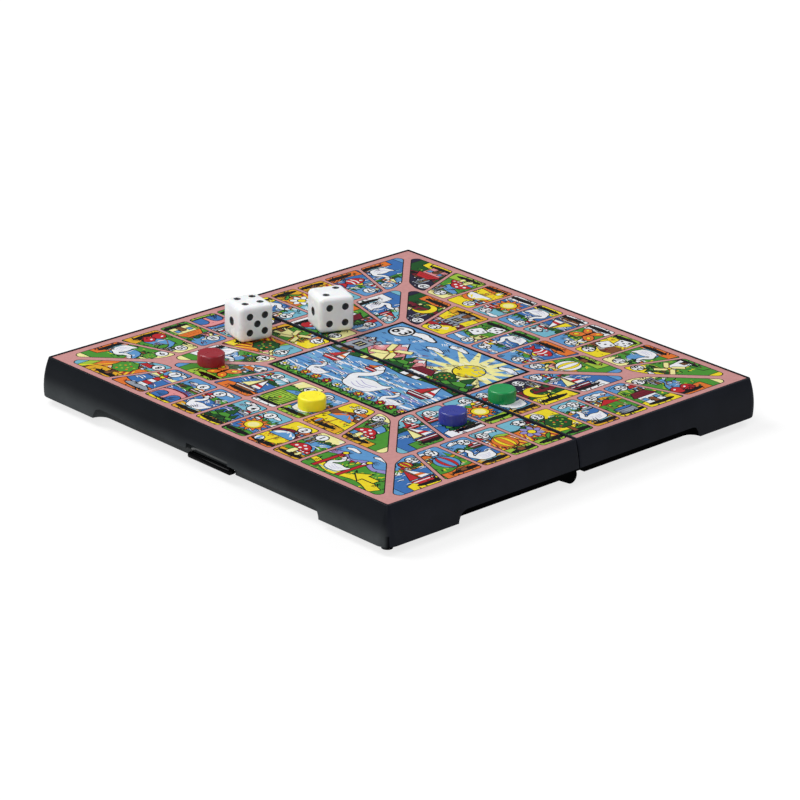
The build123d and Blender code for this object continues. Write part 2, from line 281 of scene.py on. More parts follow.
def printed_film():
    """Ink on card under a gloss film: the ink is the mesh's own colour attribute."""
    made = Finish("printed_film", Coat_Roughness=0.03, Coat_IOR=1.5, Specular_IOR_Level=0.0)
    ink = made.node("ShaderNodeAttribute", {"attribute_name": "ink"}, output="Color")
    mottle = made.noise(700, 4.0, 0.7)
    shade = made.tinted(mottle, (0.76, 0.76, 0.76), (0.9, 0.9, 0.9))
    made.feed("Base Color", made.blend(1.0, ink, shade, "MULTIPLY"))
    wave = made.noise(90, 2.0)
    made.feed("Roughness", made.varied(mottle, 0.44, 0.54))
    made.feed("Coat Weight", made.step(wave, 0.2, 0.8, 0.46, 0.56))
    made.bump(wave, 0.1, 0.1 * MM)
    return made.material


def counter_plastic(name, colour):
    """Moulded counter plastic, slightly paler where the light catches the wear."""
    made = Finish(name, Specular_IOR_Level=0.5, Subsurface_Weight=0.08, Subsurface_Scale=1 * MM)
    cloud = made.noise(300, 3.0, 0.6)
    darker = tuple(0.88 * level for level in colour)
    made.feed("Base Color", made.tinted(cloud, darker, colour))
    made.feed("Roughness", made.varied(cloud, 0.26, 0.38))
    made.bump(made.noise(1500, 2.0), 0.12, 0.03 * MM)
    return made.material


def die_plastic():
    """White die plastic with matt black ink where the ink attribute says."""
    made = Finish("die_plastic", Subsurface_Weight=0.15, Subsurface_Scale=2 * MM, Coat_Roughness=0.1)
    ink = made.node("ShaderNodeAttribute", {"attribute_name": "pip_ink"}, output="Fac")
    cloud = made.noise(260, 3.0)
    white = made.tinted(cloud, srgb(238, 241, 243), srgb(248, 250, 251))
    made.feed("Base Color", made.blend(ink, white, srgb(22, 26, 30)))
    made.feed("Roughness", made.varied(cloud, 0.2, 0.28) + ink * 0.12)
    made.feed("Coat Weight", 0.3 - ink * 0.2)
    made.bump(made.noise(700, 2.0), 0.08, 0.05 * MM)
    return made.material


# Pieces

def linked_object(name, bm):
    """Object at the origin, in the scene, with the shape of a bmesh."""
    mesh = bpy.data.meshes.new(name)
    bm.to_mesh(mesh)
    bm.free()
    made = bpy.data.objects.new(name, mesh)
    bpy.context.scene.collection.objects.link(made)
    return made


def add_piece(name, bm, body, material, slot, *nodes, sharp=None):
    """Piece that rides on a body and stands for its nodes, smooth up to an angle if one is given."""
    if sharp:
        bmesh.ops.recalc_face_normals(bm, faces=bm.faces)
        for face in bm.faces:
            face.smooth = True
    piece = linked_object(name, bm)
    if sharp:
        piece.data.set_sharp_from_angle(angle=math.radians(sharp))
    piece.data.materials.append(material)
    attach(piece, body)
    if nodes:
        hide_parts(*nodes)
    return piece


def only_verts(geometry):
    """The corners among the parts that an operator hands back."""
    return [part for part in geometry if isinstance(part, bmesh.types.BMVert)]


def finish_node(node, material):
    """Gives a node of the frame its finish."""
    for slot in frame["nodes"][node].material_slots:
        slot.material = material


# Flat drawing on complex numbers, in millimetres

INKS = {
    "ground": srgb(206, 148, 146),
    "black": srgb(5, 4, 8),
    "white": srgb(238, 240, 244),
    "sky": srgb(94, 152, 206),
    "deep": srgb(58, 112, 180),
    "cyan": srgb(116, 182, 204),
    "yellow": srgb(240, 218, 36),
    "ochre": srgb(224, 168, 36),
    "cream": srgb(242, 236, 160),
    "green": srgb(74, 148, 50),
    "dark_green": srgb(24, 82, 34),
    "lime": srgb(158, 196, 60),
    "red": srgb(190, 36, 44),
    "maroon": srgb(116, 22, 42),
    "orange": srgb(226, 118, 44),
    "brown": srgb(128, 78, 44),
    "rose": srgb(226, 146, 150),
    "lilac": srgb(150, 142, 202),
    "grey": srgb(150, 158, 172),
    "night": srgb(34, 30, 58),
}
LINE = 0.36             # width of a drawn outline
NO_LENGTH = 1e-9        # a shorter edge of a shape has no direction
TURNED_BACK = 1e-6      # two edges run opposite ways if their directions add up to less


def ellipse(centre, rx, ry=None, turn=0.0, steps=18):
    """Points round an ellipse, turned by an angle in degrees."""
    ry = rx if ry is None else ry
    spin = cmath.rect(1, math.radians(turn))
    angles = [2 * math.pi * k / steps for k in range(steps)]
    return [centre + complex(rx * math.cos(a), ry * math.sin(a)) * spin for a in angles]


def arc(centre, radius, start, end, steps=8):
    """Points along an arc between two angles in degrees."""
    angles = [math.radians(start + (end - start) * k / steps) for k in range(steps + 1)]
    return [centre + cmath.rect(radius, a) for a in angles]


def smooth(points, steps=4, closed=True):
    """Smooth line through a few points."""
    n = len(points)
    out = []
    for k in range(n if closed else n - 1):
        if closed:
            a, b, c, d = (points[(k + j) % n] for j in (-1, 0, 1, 2))
        else:
            a, b, c, d = (points[min(max(k + j, 0), n - 1)] for j in (-1, 0, 1, 2))
        for j in range(steps):
            t = j / steps
            out.append(0.5 * (2 * b + (c - a) * t + (2 * a - 5 * b + 4 * c - d) * t * t
                              + (3 * b - a - 3 * c + d) * t ** 3))
    return out if closed else out + [points[-1]]


def curve(points, steps=4):
    """Smooth open line through a few points."""
    return smooth(points, steps, False)


def block(low, high, half, half_high=None, x=0):
    """Corners of an upright block about x, that may be of another width at its high end."""
    end = half if half_high is None else half_high
    return [complex(x - half, low), complex(x + half, low), complex(x + end, high), complex(x - end, high)]


def flipped(side, *pairs):
    """Points of pairs, mirrored where the side is -1."""
    return [complex(x * side, y) for x, y in pairs]


def somewhere(rng, left, right, low, high):
    """Random place in a rectangle."""
    return complex(rng.uniform(left, right), rng.uniform(low, high))


def grown(outline, margin):
    """The outline moved outwards by a margin, with short mitres."""
    area = sum((a.conjugate() * b).imag for a, b in zip(outline, outline[1:] + outline[:1]))
    side = -1j if area > 0 else 1j
    out = []
    for before, here, after in zip(outline[-1:] + outline[:-1], outline, outline[1:] + outline[:1]):
        first = here - before
        second = after - here
        if abs(first) < NO_LENGTH or abs(second) < NO_LENGTH:
            out.append(here)
            continue
        normal = first / abs(first) + second / abs(second)
        if abs(normal) < TURNED_BACK:
            out.append(here)
            continue
        normal = normal / abs(normal) * side
        lean = max((normal * (first / abs(first) * side).conjugate()).real, 0.5)
        out.append(here + normal * margin / lean)
    return out


def ribbon(points, width, tip=None):
    """Outline of a stroke along points, that may taper to another width at its tip."""
    tip = width if tip is None else tip
    left = []
    right = []
    for k, here in enumerate(points):
        along = points[min(k + 1, len(points) - 1)] - points[max(k - 1, 0)]
        along /= abs(along) or 1
        half = (width + (tip - width) * k / (len(points) - 1)) / 2
        left.append(here + along * 1j * half)
        right.append(here - along * 1j * half)
    return left + right[::-1]


def rounded(corners, radius, steps=3):
    """Polygon with its corners rounded, all by one radius or each by its own."""
    radii = radius if isinstance(radius, list) else [radius] * len(corners)
    out = []
    for k, here in enumerate(corners):
        if not radii[k]:
            out.append(here)
            continue
        into = corners[k - 1] - here
        away = corners[(k + 1) % len(corners)] - here
        reach = min(radii[k], abs(into) * 0.45, abs(away) * 0.45)
        start = here + into / abs(into) * reach
        end = here + away / abs(away) * reach
        for j in range(steps + 1):
            t = j / steps
            out.append((1 - t) ** 2 * start + 2 * t * (1 - t) * here + t * t * end)
    return out


def clipped(outline, window):
    """The part of an outline inside a convex window that runs anticlockwise."""
    start = np.array(window)
    along = np.roll(start, -1) - start
    depth = (along.conjugate()[:, None] * (np.array(outline)[None, :] - start[:, None])).imag
    for k in np.nonzero((depth < 0).any(axis=1))[0]:
        sides = [((along[k].conjugate()) * (point - start[k])).imag for point in outline]
        kept = []
        for j, here in enumerate(outline):
            if (sides[j - 1] < 0) != (sides[j] < 0):
                share = sides[j - 1] / (sides[j - 1] - sides[j])
                kept.append(outline[j - 1] + (here - outline[j - 1]) * share)
            if sides[j] >= 0:
                kept.append(here)
        outline = kept
    return outline


def inside(outline, points):
    """Which of an array of points an outline winds round."""
    start = np.array(outline)[:, None]
    end = np.roll(start, -1, axis=0)
    rises = (start.imag <= points.imag) & (end.imag > points.imag)
    falls = (start.imag > points.imag) & (end.imag <= points.imag)
    side = ((end - start).conjugate() * (points - start)).imag
    return ((rises & (side > 0)).sum(axis=0) - (falls & (side < 0)).sum(axis=0)) != 0


class Drawing:
    """Shapes laid one over another. A shape may be cut to a window."""

    def __init__(self):
        self.shapes = []
        self.window = None
        self.place()

    def lay(self, outline, ink, line=0.0, line_ink="black"):
        """Adds a filled shape, over a wider one when it has a drawn outline."""
        placed = [self.origin + point * self.turn for point in outline]
        layers = [(grown(placed, line), line_ink)] if line else []
        for shape, colour in layers + [(placed, ink)]:
            if self.window:
                shape = clipped(shape, self.window)
            if len(shape) > 2:
                self.shapes.append((shape, colour))

    def draw(self, outline, ink, weight=1.0):
        """Adds a filled shape with a drawn outline of the usual width, or a share of it."""
        self.lay(outline, ink, LINE * weight)

    def stroke(self, points, width, ink="black", tip=None):
        self.lay(ribbon(points, width, tip), ink)

    def frame_window(self, outline, ink, frame=LINE):
        """A black-edged picture, to which the next shapes are cut."""
        self.place()
        self.window = None
        self.lay(grown(outline, frame), "black")
        self.lay(outline, ink)
        self.window = outline

    def place(self, origin=0j, turn=1.0):
        """Where the next shapes lie, how far they are turned and how large they are."""
        self.origin = origin
        self.turn = turn

    def put(self, motif, rng, origin, turn=1.0):
        """Draws a motif in its place."""
        self.place(origin, turn)
        motif(self, rng)


# Printed numbers: the built-in font's digits as flat polygons, made once each

BOLDER = 0.025      # how far a digit's outline is grown, as a share of its size


def digit_faces():
    """Each digit's filled polygons, one unit high and centred on its own width."""
    faces = {}
    for digit in "0123456789":
        text = bpy.data.curves.new("digit", "FONT")
        text.body = digit
        text.resolution_u = 2
        text.offset = BOLDER
        holder = bpy.data.objects.new("digit", text)
        bpy.context.scene.collection.objects.link(holder)
        bpy.context.view_layer.update()
        mesh = bpy.data.meshes.new_from_object(holder.evaluated_get(bpy.context.evaluated_depsgraph_get()))
        points = [complex(v.co.x, v.co.y) for v in mesh.vertices]
        low = min(p.imag for p in points)
        high = max(p.imag for p in points)
        left = min(p.real for p in points)
        right = max(p.real for p in points)
        unit = [(p - complex((left + right) / 2, low)) / (high - low) for p in points]
        width = (right - left) / (high - low)
        faces[digit] = (width, [[unit[i] for i in face.vertices] for face in mesh.polygons])
        bpy.data.objects.remove(holder)
        bpy.data.curves.remove(text)
        bpy.data.meshes.remove(mesh)
    return faces


DIGITS = digit_faces()


def number_disc(art, centre, value, radius):
    """White disc with a number in it."""
    art.lay(ellipse(centre, radius, steps=20), "white", 0.2 * radius)
    height = radius * 1.3
    gap = 0.14 * height
    text = str(value)
    widths = [DIGITS[d][0] * height for d in text]
    left = -(sum(widths) + gap * (len(text) - 1)) / 2
    for digit, width in zip(text, widths):
        corner = centre + complex(left + width / 2, -height / 2)
        for face in DIGITS[digit][1]:
            art.lay([corner + point * height for point in face], "black")
        left += width + gap


# Backgrounds: each fills the window of a picture, about 11 wide and 21 high, with
# its horizon a little above the middle

def waves(art, rng, low=-11, high=1.5, count=24, half_width=6.5):
    """Curved strokes on water, each a pale crest over a dark trough."""
    for k in range(count):
        at = complex(rng.uniform(-half_width, half_width), low + (high - low) * (k + rng.random()) / count)
        reach = rng.uniform(0.8, 2.2)
        for lift, ink, width in ((0, "black", 0.34), (0.4, rng.choice(["white", "white", "cyan"]), 0.55)):
            crest = [at - reach + lift * 1j, at + (0.35 + lift) * 1j, at + reach + (lift - 0.1) * 1j]
            art.stroke(crest, 0.05, ink, width)


def tufts(art, rng, inks, low=-11, high=-1, count=40, half_width=6.5):
    """Leaf-like dabs over a meadow or a hill."""
    for _ in range(count):
        at = somewhere(rng, -half_width, half_width, low, high)
        lean = somewhere(rng, -1.0, 1.0, 0.8, 1.7)
        art.stroke([at, at + lean * 0.6, at + lean], 0.75, rng.choice(inks), 0.08)


def hatching(art, rng, groups, low=-10, high=9, half_width=6, inks=("black",)):
    """Small groups of tapered pen strokes side by side."""
    for _ in range(groups):
        at = somewhere(rng, -half_width, half_width, low, high)
        along = cmath.rect(rng.uniform(1.2, 2.8), rng.uniform(-0.7, 1.2))
        ink = rng.choice(inks)
        for k in range(rng.randint(2, 4)):
            start = at + along * 1j / abs(along) * 0.6 * k + rng.uniform(-0.4, 0.4)
            art.stroke([start, start + along * 0.5 + 0.15j, start + along], 0.44, ink, 0.06)


def shore(art, rng):
    """Ground across the foot of a picture, in a colour of its own."""
    ink = rng.choice(["yellow", "ochre", "lime", "orange", "white", "green"])
    level = rng.uniform(-7.2, -5.6)
    line = [complex(x, level + rng.uniform(-0.8, 0.8)) for x in (-8, -4, 0, 4, 8)]
    art.draw(curve(line, 3) + [9 - 15j, -9 - 15j], ink)
    tufts(art, rng, ["black", "black", "dark_green", "maroon"], -11, level - 1, 16)


def hills(art, level, height, ink, rng, reach=12):
    """Rolling ground up to about a level, running past the picture's sides."""
    shift = rng.uniform(0, 6)
    steps = [complex(x, level + height * math.sin((x + shift) * 0.6)) for x in range(-reach, reach + 1, 2)]
    art.draw([complex(reach, -30)] + curve(steps, 2)[::-1] + [complex(-reach, -30)], ink, 0.8)


def cloud(art, at, size):
    """Cloud with a black edge."""
    puffs = [(-1.5, 0, 1.0), (-0.4, 0.35, 1.25), (0.9, 0.1, 1.05), (1.9, -0.1, 0.75)]
    for line in (LINE * 0.7, 0):
        for x, y, r in puffs:
            middle = at + complex(x, y) * size
            puff = ellipse(middle, (r + line) * size + line, (r * 0.62 + line) * size, steps=10)
            art.lay(puff, "black" if line else "white")


def birds(art, rng):
    """Three far birds in the sky."""
    for _ in range(3):
        at = somewhere(rng, -4, 4, 5, 9)
        for side in (-1, 1):
            art.stroke([at + 0.8 * side + 0.3j, at + 0.3 * side + 0.45j, at], 0.1, "black", 0.22)


def far_trees(art, rng, level, inks=("dark_green", "green")):
    """Row of round and pointed trees on the horizon."""
    x = -6.5
    while x < 6.5:
        size = rng.uniform(0.7, 1.3)
        foot = complex(x, level)
        if rng.random() < 0.5:
            crown = [foot - 0.7 * size, foot + 0.7 * size, foot + 2.6j * size]
        else:
            crown = ellipse(foot + 0.9j * size, 0.95 * size, 1.05 * size, steps=9)
        art.draw(crown, rng.choice(inks), 0.6)
        x += rng.uniform(1.2, 2.6)


def passing_cloud(art, rng):
    """Cloud somewhere in the upper part of a picture."""
    cloud(art, somewhere(rng, -3.5, 3.5, 6, 9), rng.uniform(0.9, 1.3))


def sea(art, rng):
    """Water with waves under a far shore."""
    passing_cloud(art, rng)
    hills(art, rng.uniform(2.5, 4.0), 0.7, rng.choice(["dark_green", "lilac", "green", "ochre"]), rng)
    far_trees(art, rng, 2.4)
    hills(art, rng.uniform(0.8, 1.6), 0.15, "deep", rng)
    waves(art, rng)


def meadow(art, rng):
    """Grass with dabs of other colours."""
    passing_cloud(art, rng)
    hills(art, rng.uniform(3.0, 5.0), 1.0, rng.choice(["dark_green", "lime", "ochre", "lilac"]), rng)
    far_trees(art, rng, 2.2)
    hills(art, rng.uniform(0.5, 2), 0.6, "green", rng)
    tufts(art, rng, ["dark_green", "lime", "black", "yellow", "black"])


def harvest(art, rng):
    """Ripe field under dark hills."""
    birds(art, rng)
    hills(art, rng.uniform(3.0, 4.5), 1.1, rng.choice(["orange", "green", "brown", "maroon"]), rng)
    tufts(art, rng, ["black", "maroon", "yellow"], 1.5, 4, 8)
    hills(art, rng.uniform(-1, 1.5), 0.6, "yellow", rng)
    tufts(art, rng, ["ochre", "orange", "brown", "black", "green"])


def river(art, rng):
    """Stream that winds and widens towards the front."""
    far_trees(art, rng, 4.5)
    hills(art, rng.uniform(4, 5), 0.7, "green", rng)
    tufts(art, rng, ["dark_green", "lime", "yellow", "black"], -10, 4, 30)
    bend = rng.choice([-1, 1])
    middle = flipped(bend, (5, 4), (-1, 1.5), (1.5, -4), (-2, -13))
    art.draw(ribbon(curve(middle), 1.6, 8.0), "sky")
    waves(art, rng, -10, 0, 9, 3)


def night(art, rng):
    """Dark sky with small stars."""
    for _ in range(9):
        at = somewhere(rng, -5, 5, 2, 10)
        art.lay(ellipse(at, 0.28, steps=5), rng.choice(["cream", "white"]))
    hills(art, rng.uniform(1, 3), 0.9, "maroon", rng)
    far_trees(art, rng, -0.5, ("black", "dark_green"))
    hills(art, rng.uniform(-3, -1), 0.5, "dark_green", rng)
    tufts(art, rng, ["black", "green", "lime"], -11, -3, 18)


def field(art, rng):
    """Ploughed rows running to the horizon."""
    cloud(art, complex(rng.uniform(-3, 3), 8), 1.0)
    hills(art, 4.0, 0.8, rng.choice(["dark_green", "lime"]), rng)
    art.draw(block(2.5, -14, 9), "orange")
    for k in range(-6, 7):
        furrow = [complex(k * 0.45, 2.5), complex(k * 1.1, -4), complex(k * 2.2, -13)]
        art.stroke(furrow, 0.1, "maroon" if k % 2 else "yellow", 0.9)


SCENES = {
    "sea": ("sky", sea),
    "meadow": ("sky", meadow),
    "harvest": ("yellow", harvest),
    "river": ("cream", river),
    "night": ("night", night),
    "dawn": ("cyan", sea),
    "bright": ("yellow", meadow),
    "field": ("cyan", field),
}


# Motifs: each about 9 wide and 11 high round the origin

def goose(art, rng):
    """Goose on the water, with its neck curved and its wing feathers drawn."""
    flip = rng.choice([-1, 1])
    body = smooth(flipped(flip, (-3.4, -1.6), (-3.9, 0.6), (-2.6, 0.1), (-0.4, 0.5), (1.8, -0.3), (2.8, -1.8),
                          (1.8, -3.2), (-0.8, -3.6), (-2.8, -3.0)))
    neck = curve(flipped(flip, (2.0, -1.6), (2.9, 0.2), (1.6, 1.9), (1.5, 3.5), (2.4, 4.3)))
    art.draw(body, "white")
    art.draw(ribbon(neck, 1.5, 0.9), "white")
    art.draw(ellipse(complex(2.5 * flip, 4.4), 0.85, 0.7, steps=14), "white")
    art.draw(flipped(flip, (3.1, 4.8), (4.5, 4.1), (3.1, 3.9)), "orange", 0.8)
    art.lay(ellipse(complex(2.7 * flip, 4.6), 0.14, steps=8), "black")
    art.lay(body, "white")
    for k in range(3):
        low = complex((-2.6 + 0.5 * k) * flip, -0.9 - 0.7 * k)
        high = complex((1.0 + 0.2 * k) * flip, -0.6 - 0.75 * k)
        art.stroke(curve([low, (low + high) / 2 - 0.5j, high]), 0.16, "lilac", 0.1)
    art.stroke(flipped(flip, (-3.6, -3.7), (0, -4.1), (3.4, -3.6)), 0.3, "cyan", 0.3)


def boat(art, rng):
    """Sailing boat with a striped sail."""
    hull = [-3.8 - 2.2j, 3.8 - 2.2j, 2.7 - 4.3j, -2.6 - 4.3j]
    art.stroke([0.1 - 2.2j, 0.1 + 5.2j], 0.34, "brown")
    sail = curve([0.5 + 4.8j, 1.7 + 2.4j, 3.6 - 1.2j]) + [0.5 - 1.4j]
    art.draw(sail, "white")
    art.lay([0.5 + 1.2j, 2.5 + 1.0j, 3.2 - 0.3j, 0.5 - 0.1j], rng.choice(["red", "orange"]))
    art.draw([-0.3 + 4.2j, -3.2 - 1.3j, -0.3 - 1.4j], rng.choice(["yellow", "red", "cream"]))
    art.draw(hull, rng.choice(["red", "brown", "maroon"]))
    art.stroke([-3.4 - 2.9j, 3.4 - 2.9j], 0.4, "white")
    art.draw([0.1 + 5.2j, 1.8 + 5.7j, 0.1 + 6.2j], "red", 0.7)


def house(art, rng):
    """Cottage with a chimney, a door and two windows."""
    wall = rng.choice(["white", "cream", "rose"])
    art.draw(block(1.5, 4.4, 0.5, x=1.9), "brown")
    art.draw(block(-4.2, 0.6, 3.2), wall)
    art.draw(block(0.4, 3.4, 4.1, 2.4), rng.choice(["red", "maroon", "orange"]))
    for y in (1.2, 2.1):
        art.stroke([complex(-3.5 + y * 0.5, y), complex(3.5 - y * 0.5, y)], 0.12)
    art.draw([-0.8 - 4.2j, 0.8 - 4.2j, 0.8 - 1.8j, 0.4 - 1.3j, -0.4 - 1.3j, -0.8 - 1.8j], "brown")
    for x in (-2.1, 2.0):
        art.draw(block(-2.4, -1, 0.6, x=x), "sky")


def tree(art, rng):
    """Round tree with fruit."""
    art.draw(block(-4.8, 0.5, 0.7, 0.4), "brown")
    crown = [2j + cmath.rect(3.3 + 0.45 * (k % 2), k * math.pi / 8) for k in range(16)]
    art.draw(smooth(crown, 3), rng.choice(["green", "dark_green"]))
    for k in range(9):
        at = cmath.rect(0.9 + 0.22 * k, 2.4 * k) + 2j
        art.lay(ellipse(at, 0.38, steps=8), rng.choice(["red", "orange"]) if k % 2 else "lime")


def pines(art, rng):
    """Three fir trees, the middle one in front."""
    for x, size in ((-2.6, 0.8), (2.7, 0.75), (0, 1.1)):
        foot = complex(x, -4.4)
        art.draw([foot - 0.35, foot + 0.35, foot + 0.35 + 1.5j, foot - 0.35 + 1.5j], "brown")
        for k in range(3):
            low = foot + size * complex(0, 1.2 + 2.1 * k)
            half = size * (2.3 - 0.5 * k)
            notch = half * 0.3
            skirt = [low - half, low - notch - 0.4j, low + notch - 0.4j, low + half, low + size * 3.1j]
            art.draw(skirt, "dark_green" if k != 1 else "green")


def balloon(art, rng):
    """Hot-air balloon in gores."""
    first, second = rng.sample(["red", "yellow", "sky", "orange", "white", "lilac"], 2)
    art.draw(ellipse(1.6j, 3.3, 3.7, steps=22), first)
    art.draw(ellipse(1.6j, 2.0, 3.7, steps=18), second, 0.6)
    art.draw(ellipse(1.6j, 0.8, 3.7, steps=14), first, 0.6)
    for x in (-1.0, 1.0):
        art.stroke([complex(x * 1.9, -1.2), complex(x, -3.7)], 0.14)
    art.draw(block(-3.6, -5.1, 1.2, 0.9), "brown")


def fish(art, rng):
    """Striped fish with a forked tail."""
    flip = rng.choice([-1, 1])
    colour = rng.choice(["orange", "red", "yellow"])
    art.draw(flipped(flip, (-1.8, 0), (-4.4, 2.1), (-3.7, 0), (-4.4, -2.1)), colour)
    art.draw(smooth(flipped(flip, (-0.8, 1.9), (0.9, 3.4), (1.6, 1.9)), 3), "yellow")
    body = flipped(flip, (-2.2, 0), (0.4, 2.2), (3.0, 1.5), (4.3, 0), (3.0, -1.5), (0.4, -2.2))
    art.draw(smooth(body), colour)
    for x in (-0.6, 0.9):
        art.stroke(curve(flipped(flip, (x, 1.9), (x + 0.6, 0), (x, -1.9))), 0.5, "white")
    art.draw(ellipse(complex(2.9 * flip, 0.5), 0.5, steps=10), "white", 0.6)
    art.lay(ellipse(complex(3.0 * flip, 0.5), 0.2, steps=8), "black")


def flower(art, rng):
    """Tall flower with two leaves."""
    art.stroke(curve([-5.0j + 0.3, -2.5j - 0.2, 0.5j]), 0.5, "dark_green")
    for side in (-1, 1):
        leaf = flipped(side, (0, -4.0), (1.5, -3.0), (3.0, -1.4), (1.3, -1.9))
        art.draw(smooth(leaf, 3), "green")
    petals = 7
    colour = rng.choice(["red", "white", "orange", "lilac", "rose"])
    for k in range(petals):
        angle = 360 * k / petals + 10
        at = 2j + cmath.rect(1.9, math.radians(angle))
        art.draw(ellipse(at, 1.5, 0.8, angle, 12), colour, 0.8)
    art.draw(ellipse(2j, 1.1, steps=12), "yellow")


def sun(art, rng):
    """Sun with alternate long and short rays."""
    rays = [1j + cmath.rect(4.3 if k % 2 else 2.7, k * math.pi / 12) for k in range(24)]
    art.draw(rays, "orange", 0.8)
    art.draw(ellipse(1j, 2.4, steps=20), "yellow")
    art.lay(ellipse(1j, 1.6, steps=16), "cream")


def mushroom(art, rng):
    """Spotted toadstools."""
    for x, size in ((1.7, 0.7), (-1.0, 1.1)):
        def at(px, py, x=x, size=size):
            return complex(x + px * size, -4.2 + py * size)
        stem = smooth([at(-0.8, 0), at(-0.5, 3), at(0.5, 3), at(0.8, 0)], 3)
        art.draw(stem, "cream")
        cap = arc(at(0, 2.9), 3.1 * size, 0, 180, 12)
        art.draw(cap, "red")
        for px, py in ((-1.6, 4.0), (0.1, 5.1), (1.6, 4.0), (0, 3.5)):
            art.lay(ellipse(at(px, py), 0.45 * size, steps=8), "white")


def butterfly(art, rng):
    """Butterfly seen from above."""
    wing, spot = rng.choice([("orange", "yellow"), ("lilac", "white"), ("yellow", "red"), ("sky", "cream")])
    for side in (-1, 1):
        art.draw(ellipse(complex(1.9 * side, 1.9), 2.5, 1.5, 40 * side, 16), wing)
        art.draw(ellipse(complex(1.6 * side, -1.6), 1.9, 1.2, -45 * side, 14), wing)
        art.draw(ellipse(complex(2.3 * side, 2.2), 0.8, 0.55, 40 * side, 10), spot, 0.6)
        art.lay(ellipse(complex(1.9 * side, -1.9), 0.5, 0.35, -45 * side, 8), spot)
        art.stroke(curve([2.4j, complex(0.7 * side, 3.9), complex(1.5 * side, 4.6)]), 0.14)
    art.lay(ellipse(0j, 0.45, 2.7, steps=12), "black")


def lighthouse(art, rng):
    """Banded lighthouse on a rock."""
    art.draw(smooth([-4 - 5j, -2.6 - 3.1j, 0.3 - 2.7j, 3.0 - 3.4j, 4.2 - 5j], 3), "grey")
    for k in range(4):
        low = -3.2 + 1.7 * k
        wide = 1.6 - 0.2 * k
        art.draw(block(low, low + 1.7, wide, wide - 0.2), "red" if k % 2 else "white")
    art.lay(block(3.6, 4, 1.3), "black")
    art.draw(block(4, 5.2, 0.7), "yellow")
    art.draw([-1 + 5.2j, 1 + 5.2j, 6.4j], "red")
    for side in (-1, 1):
        art.lay(flipped(side, (0.9, 4.6), (4.8, 5.9), (4.8, 4.0)), "cream")


def kite(art, rng):
    """Kite with bows on its tail."""
    first, second = rng.sample(["red", "yellow", "sky", "orange", "green"], 2)
    art.draw([5.6j, 2.7 + 2.4j, -1.9j, -2.7 + 2.4j], first)
    art.draw([5.6j, 2.7 + 2.4j, 2.4j], second, 0.6)
    art.draw([-1.9j, -2.7 + 2.4j, 2.4j], second, 0.6)
    tail = curve([-1.9j, 1.2 - 3.0j, -0.6 - 4.0j, 0.8 - 5.4j], 5)
    art.stroke(tail, 0.16)
    for k in (4, 9, 14):
        at = tail[min(k, len(tail) - 1)]
        for side, ink in ((-1, "red"), (1, "yellow")):
            art.draw([at + 0.9 * side + 0.4j, at, at + 0.9 * side - 0.4j], ink, 0.6)


def windmill(art, rng):
    """Tower mill with four sails."""
    art.draw(block(-4.8, 1.6, 2.2, 1.3), rng.choice(["white", "rose", "cream"]))
    art.draw(arc(1.6j, 1.5, 0, 180, 8), "red")
    art.draw(block(-4.8, -3.1, 0.7), "brown")
    lean = rng.uniform(20, 60)
    hub = 1.9j
    for k in range(4):
        spin = cmath.rect(1, math.radians(lean + 90 * k))
        cloth = [hub + point * spin for point in (0.2j, 4.2 + 0.2j, 4.2 + 1.5j, 1.1 + 1.5j)]
        art.draw(cloth, "cream", 0.8)
        art.stroke([hub, hub + 4.4 * spin], 0.28, "brown")
    art.draw(ellipse(hub, 0.45, steps=10), "yellow")


def parasol(art, rng):
    """Beach parasol and ball."""
    first, second = rng.sample(["red", "yellow", "white", "orange", "sky"], 2)
    art.stroke([0.4 - 4.8j, 0.4 + 3j], 0.36, "brown")
    hub = 0.4 + 0.8j
    ball = -2.4 - 3.7j
    art.draw(arc(hub, 3.9, 0, 180, 12), first)
    for start in (30, 90, 150):
        rim = arc(hub, 3.9, start - 15, start + 15, 3)
        art.lay([hub + 3.9j] + rim + [hub + cmath.rect(2.4, math.radians(start))], second)
    art.draw(ellipse(ball, 1.3, steps=14), second)
    art.lay(ellipse(ball, 0.5, 1.3, steps=12), first)


def cherries(art, rng):
    """Two cherries and a leaf."""
    for x in (-1.7, 1.8):
        art.stroke(curve([complex(x, -1.4), complex(x * 0.8, 1.5), 0.5 + 4.2j]), 0.26, "brown")
    art.draw(smooth([0.4 + 4.0j, 2.2 + 5.1j, 4.2 + 4.3j, 2.3 + 3.2j], 3), "green")
    for x in (-1.9, 1.9):
        art.draw(ellipse(complex(x, -2.5), 1.9, steps=18), "red")
        art.lay(ellipse(complex(x - 0.6, -1.9), 0.5, 0.35, 30, 8), "white")


def moon(art, rng):
    """Crescent moon and three stars."""
    outer = arc(-0.3 + 1j, 3.5, 50, 310, 16)
    inner = arc(1.0 + 1j, 2.7, 290, 70, 12)
    art.draw(outer + inner, "yellow")
    for at, size in ((2.9 + 3.9j, 1.0), (3.1 - 0.6j, 0.8), (-3.6 - 3.6j, 0.9)):
        points = [at + cmath.rect(size if k % 2 else size * 0.42, k * math.pi / 5) for k in range(10)]
        art.draw(points, "cream", 0.7)


def bridge(art, rng):
    """Stone bridge of two arches."""
    deck = curve([-6 - 1.2j, -3 + 0.6j, 0.9j, 3 + 0.6j, 6 - 1.2j], 3)
    art.draw(deck + [6 - 5j, -6 - 5j], "rose")
    for x in (-2.5, 2.5):
        opening = arc(complex(x, -2.8), 1.7, 180, 0, 8)
        art.draw([complex(x - 1.7, -5.2)] + opening + [complex(x + 1.7, -5.2)], "deep")
    art.stroke([p + 0.5j for p in deck], 0.5, "maroon")
    for k in range(5):
        art.stroke([complex(-4 + 2 * k, -0.9), complex(-3.2 + 2 * k, -0.9)], 0.14, "maroon")


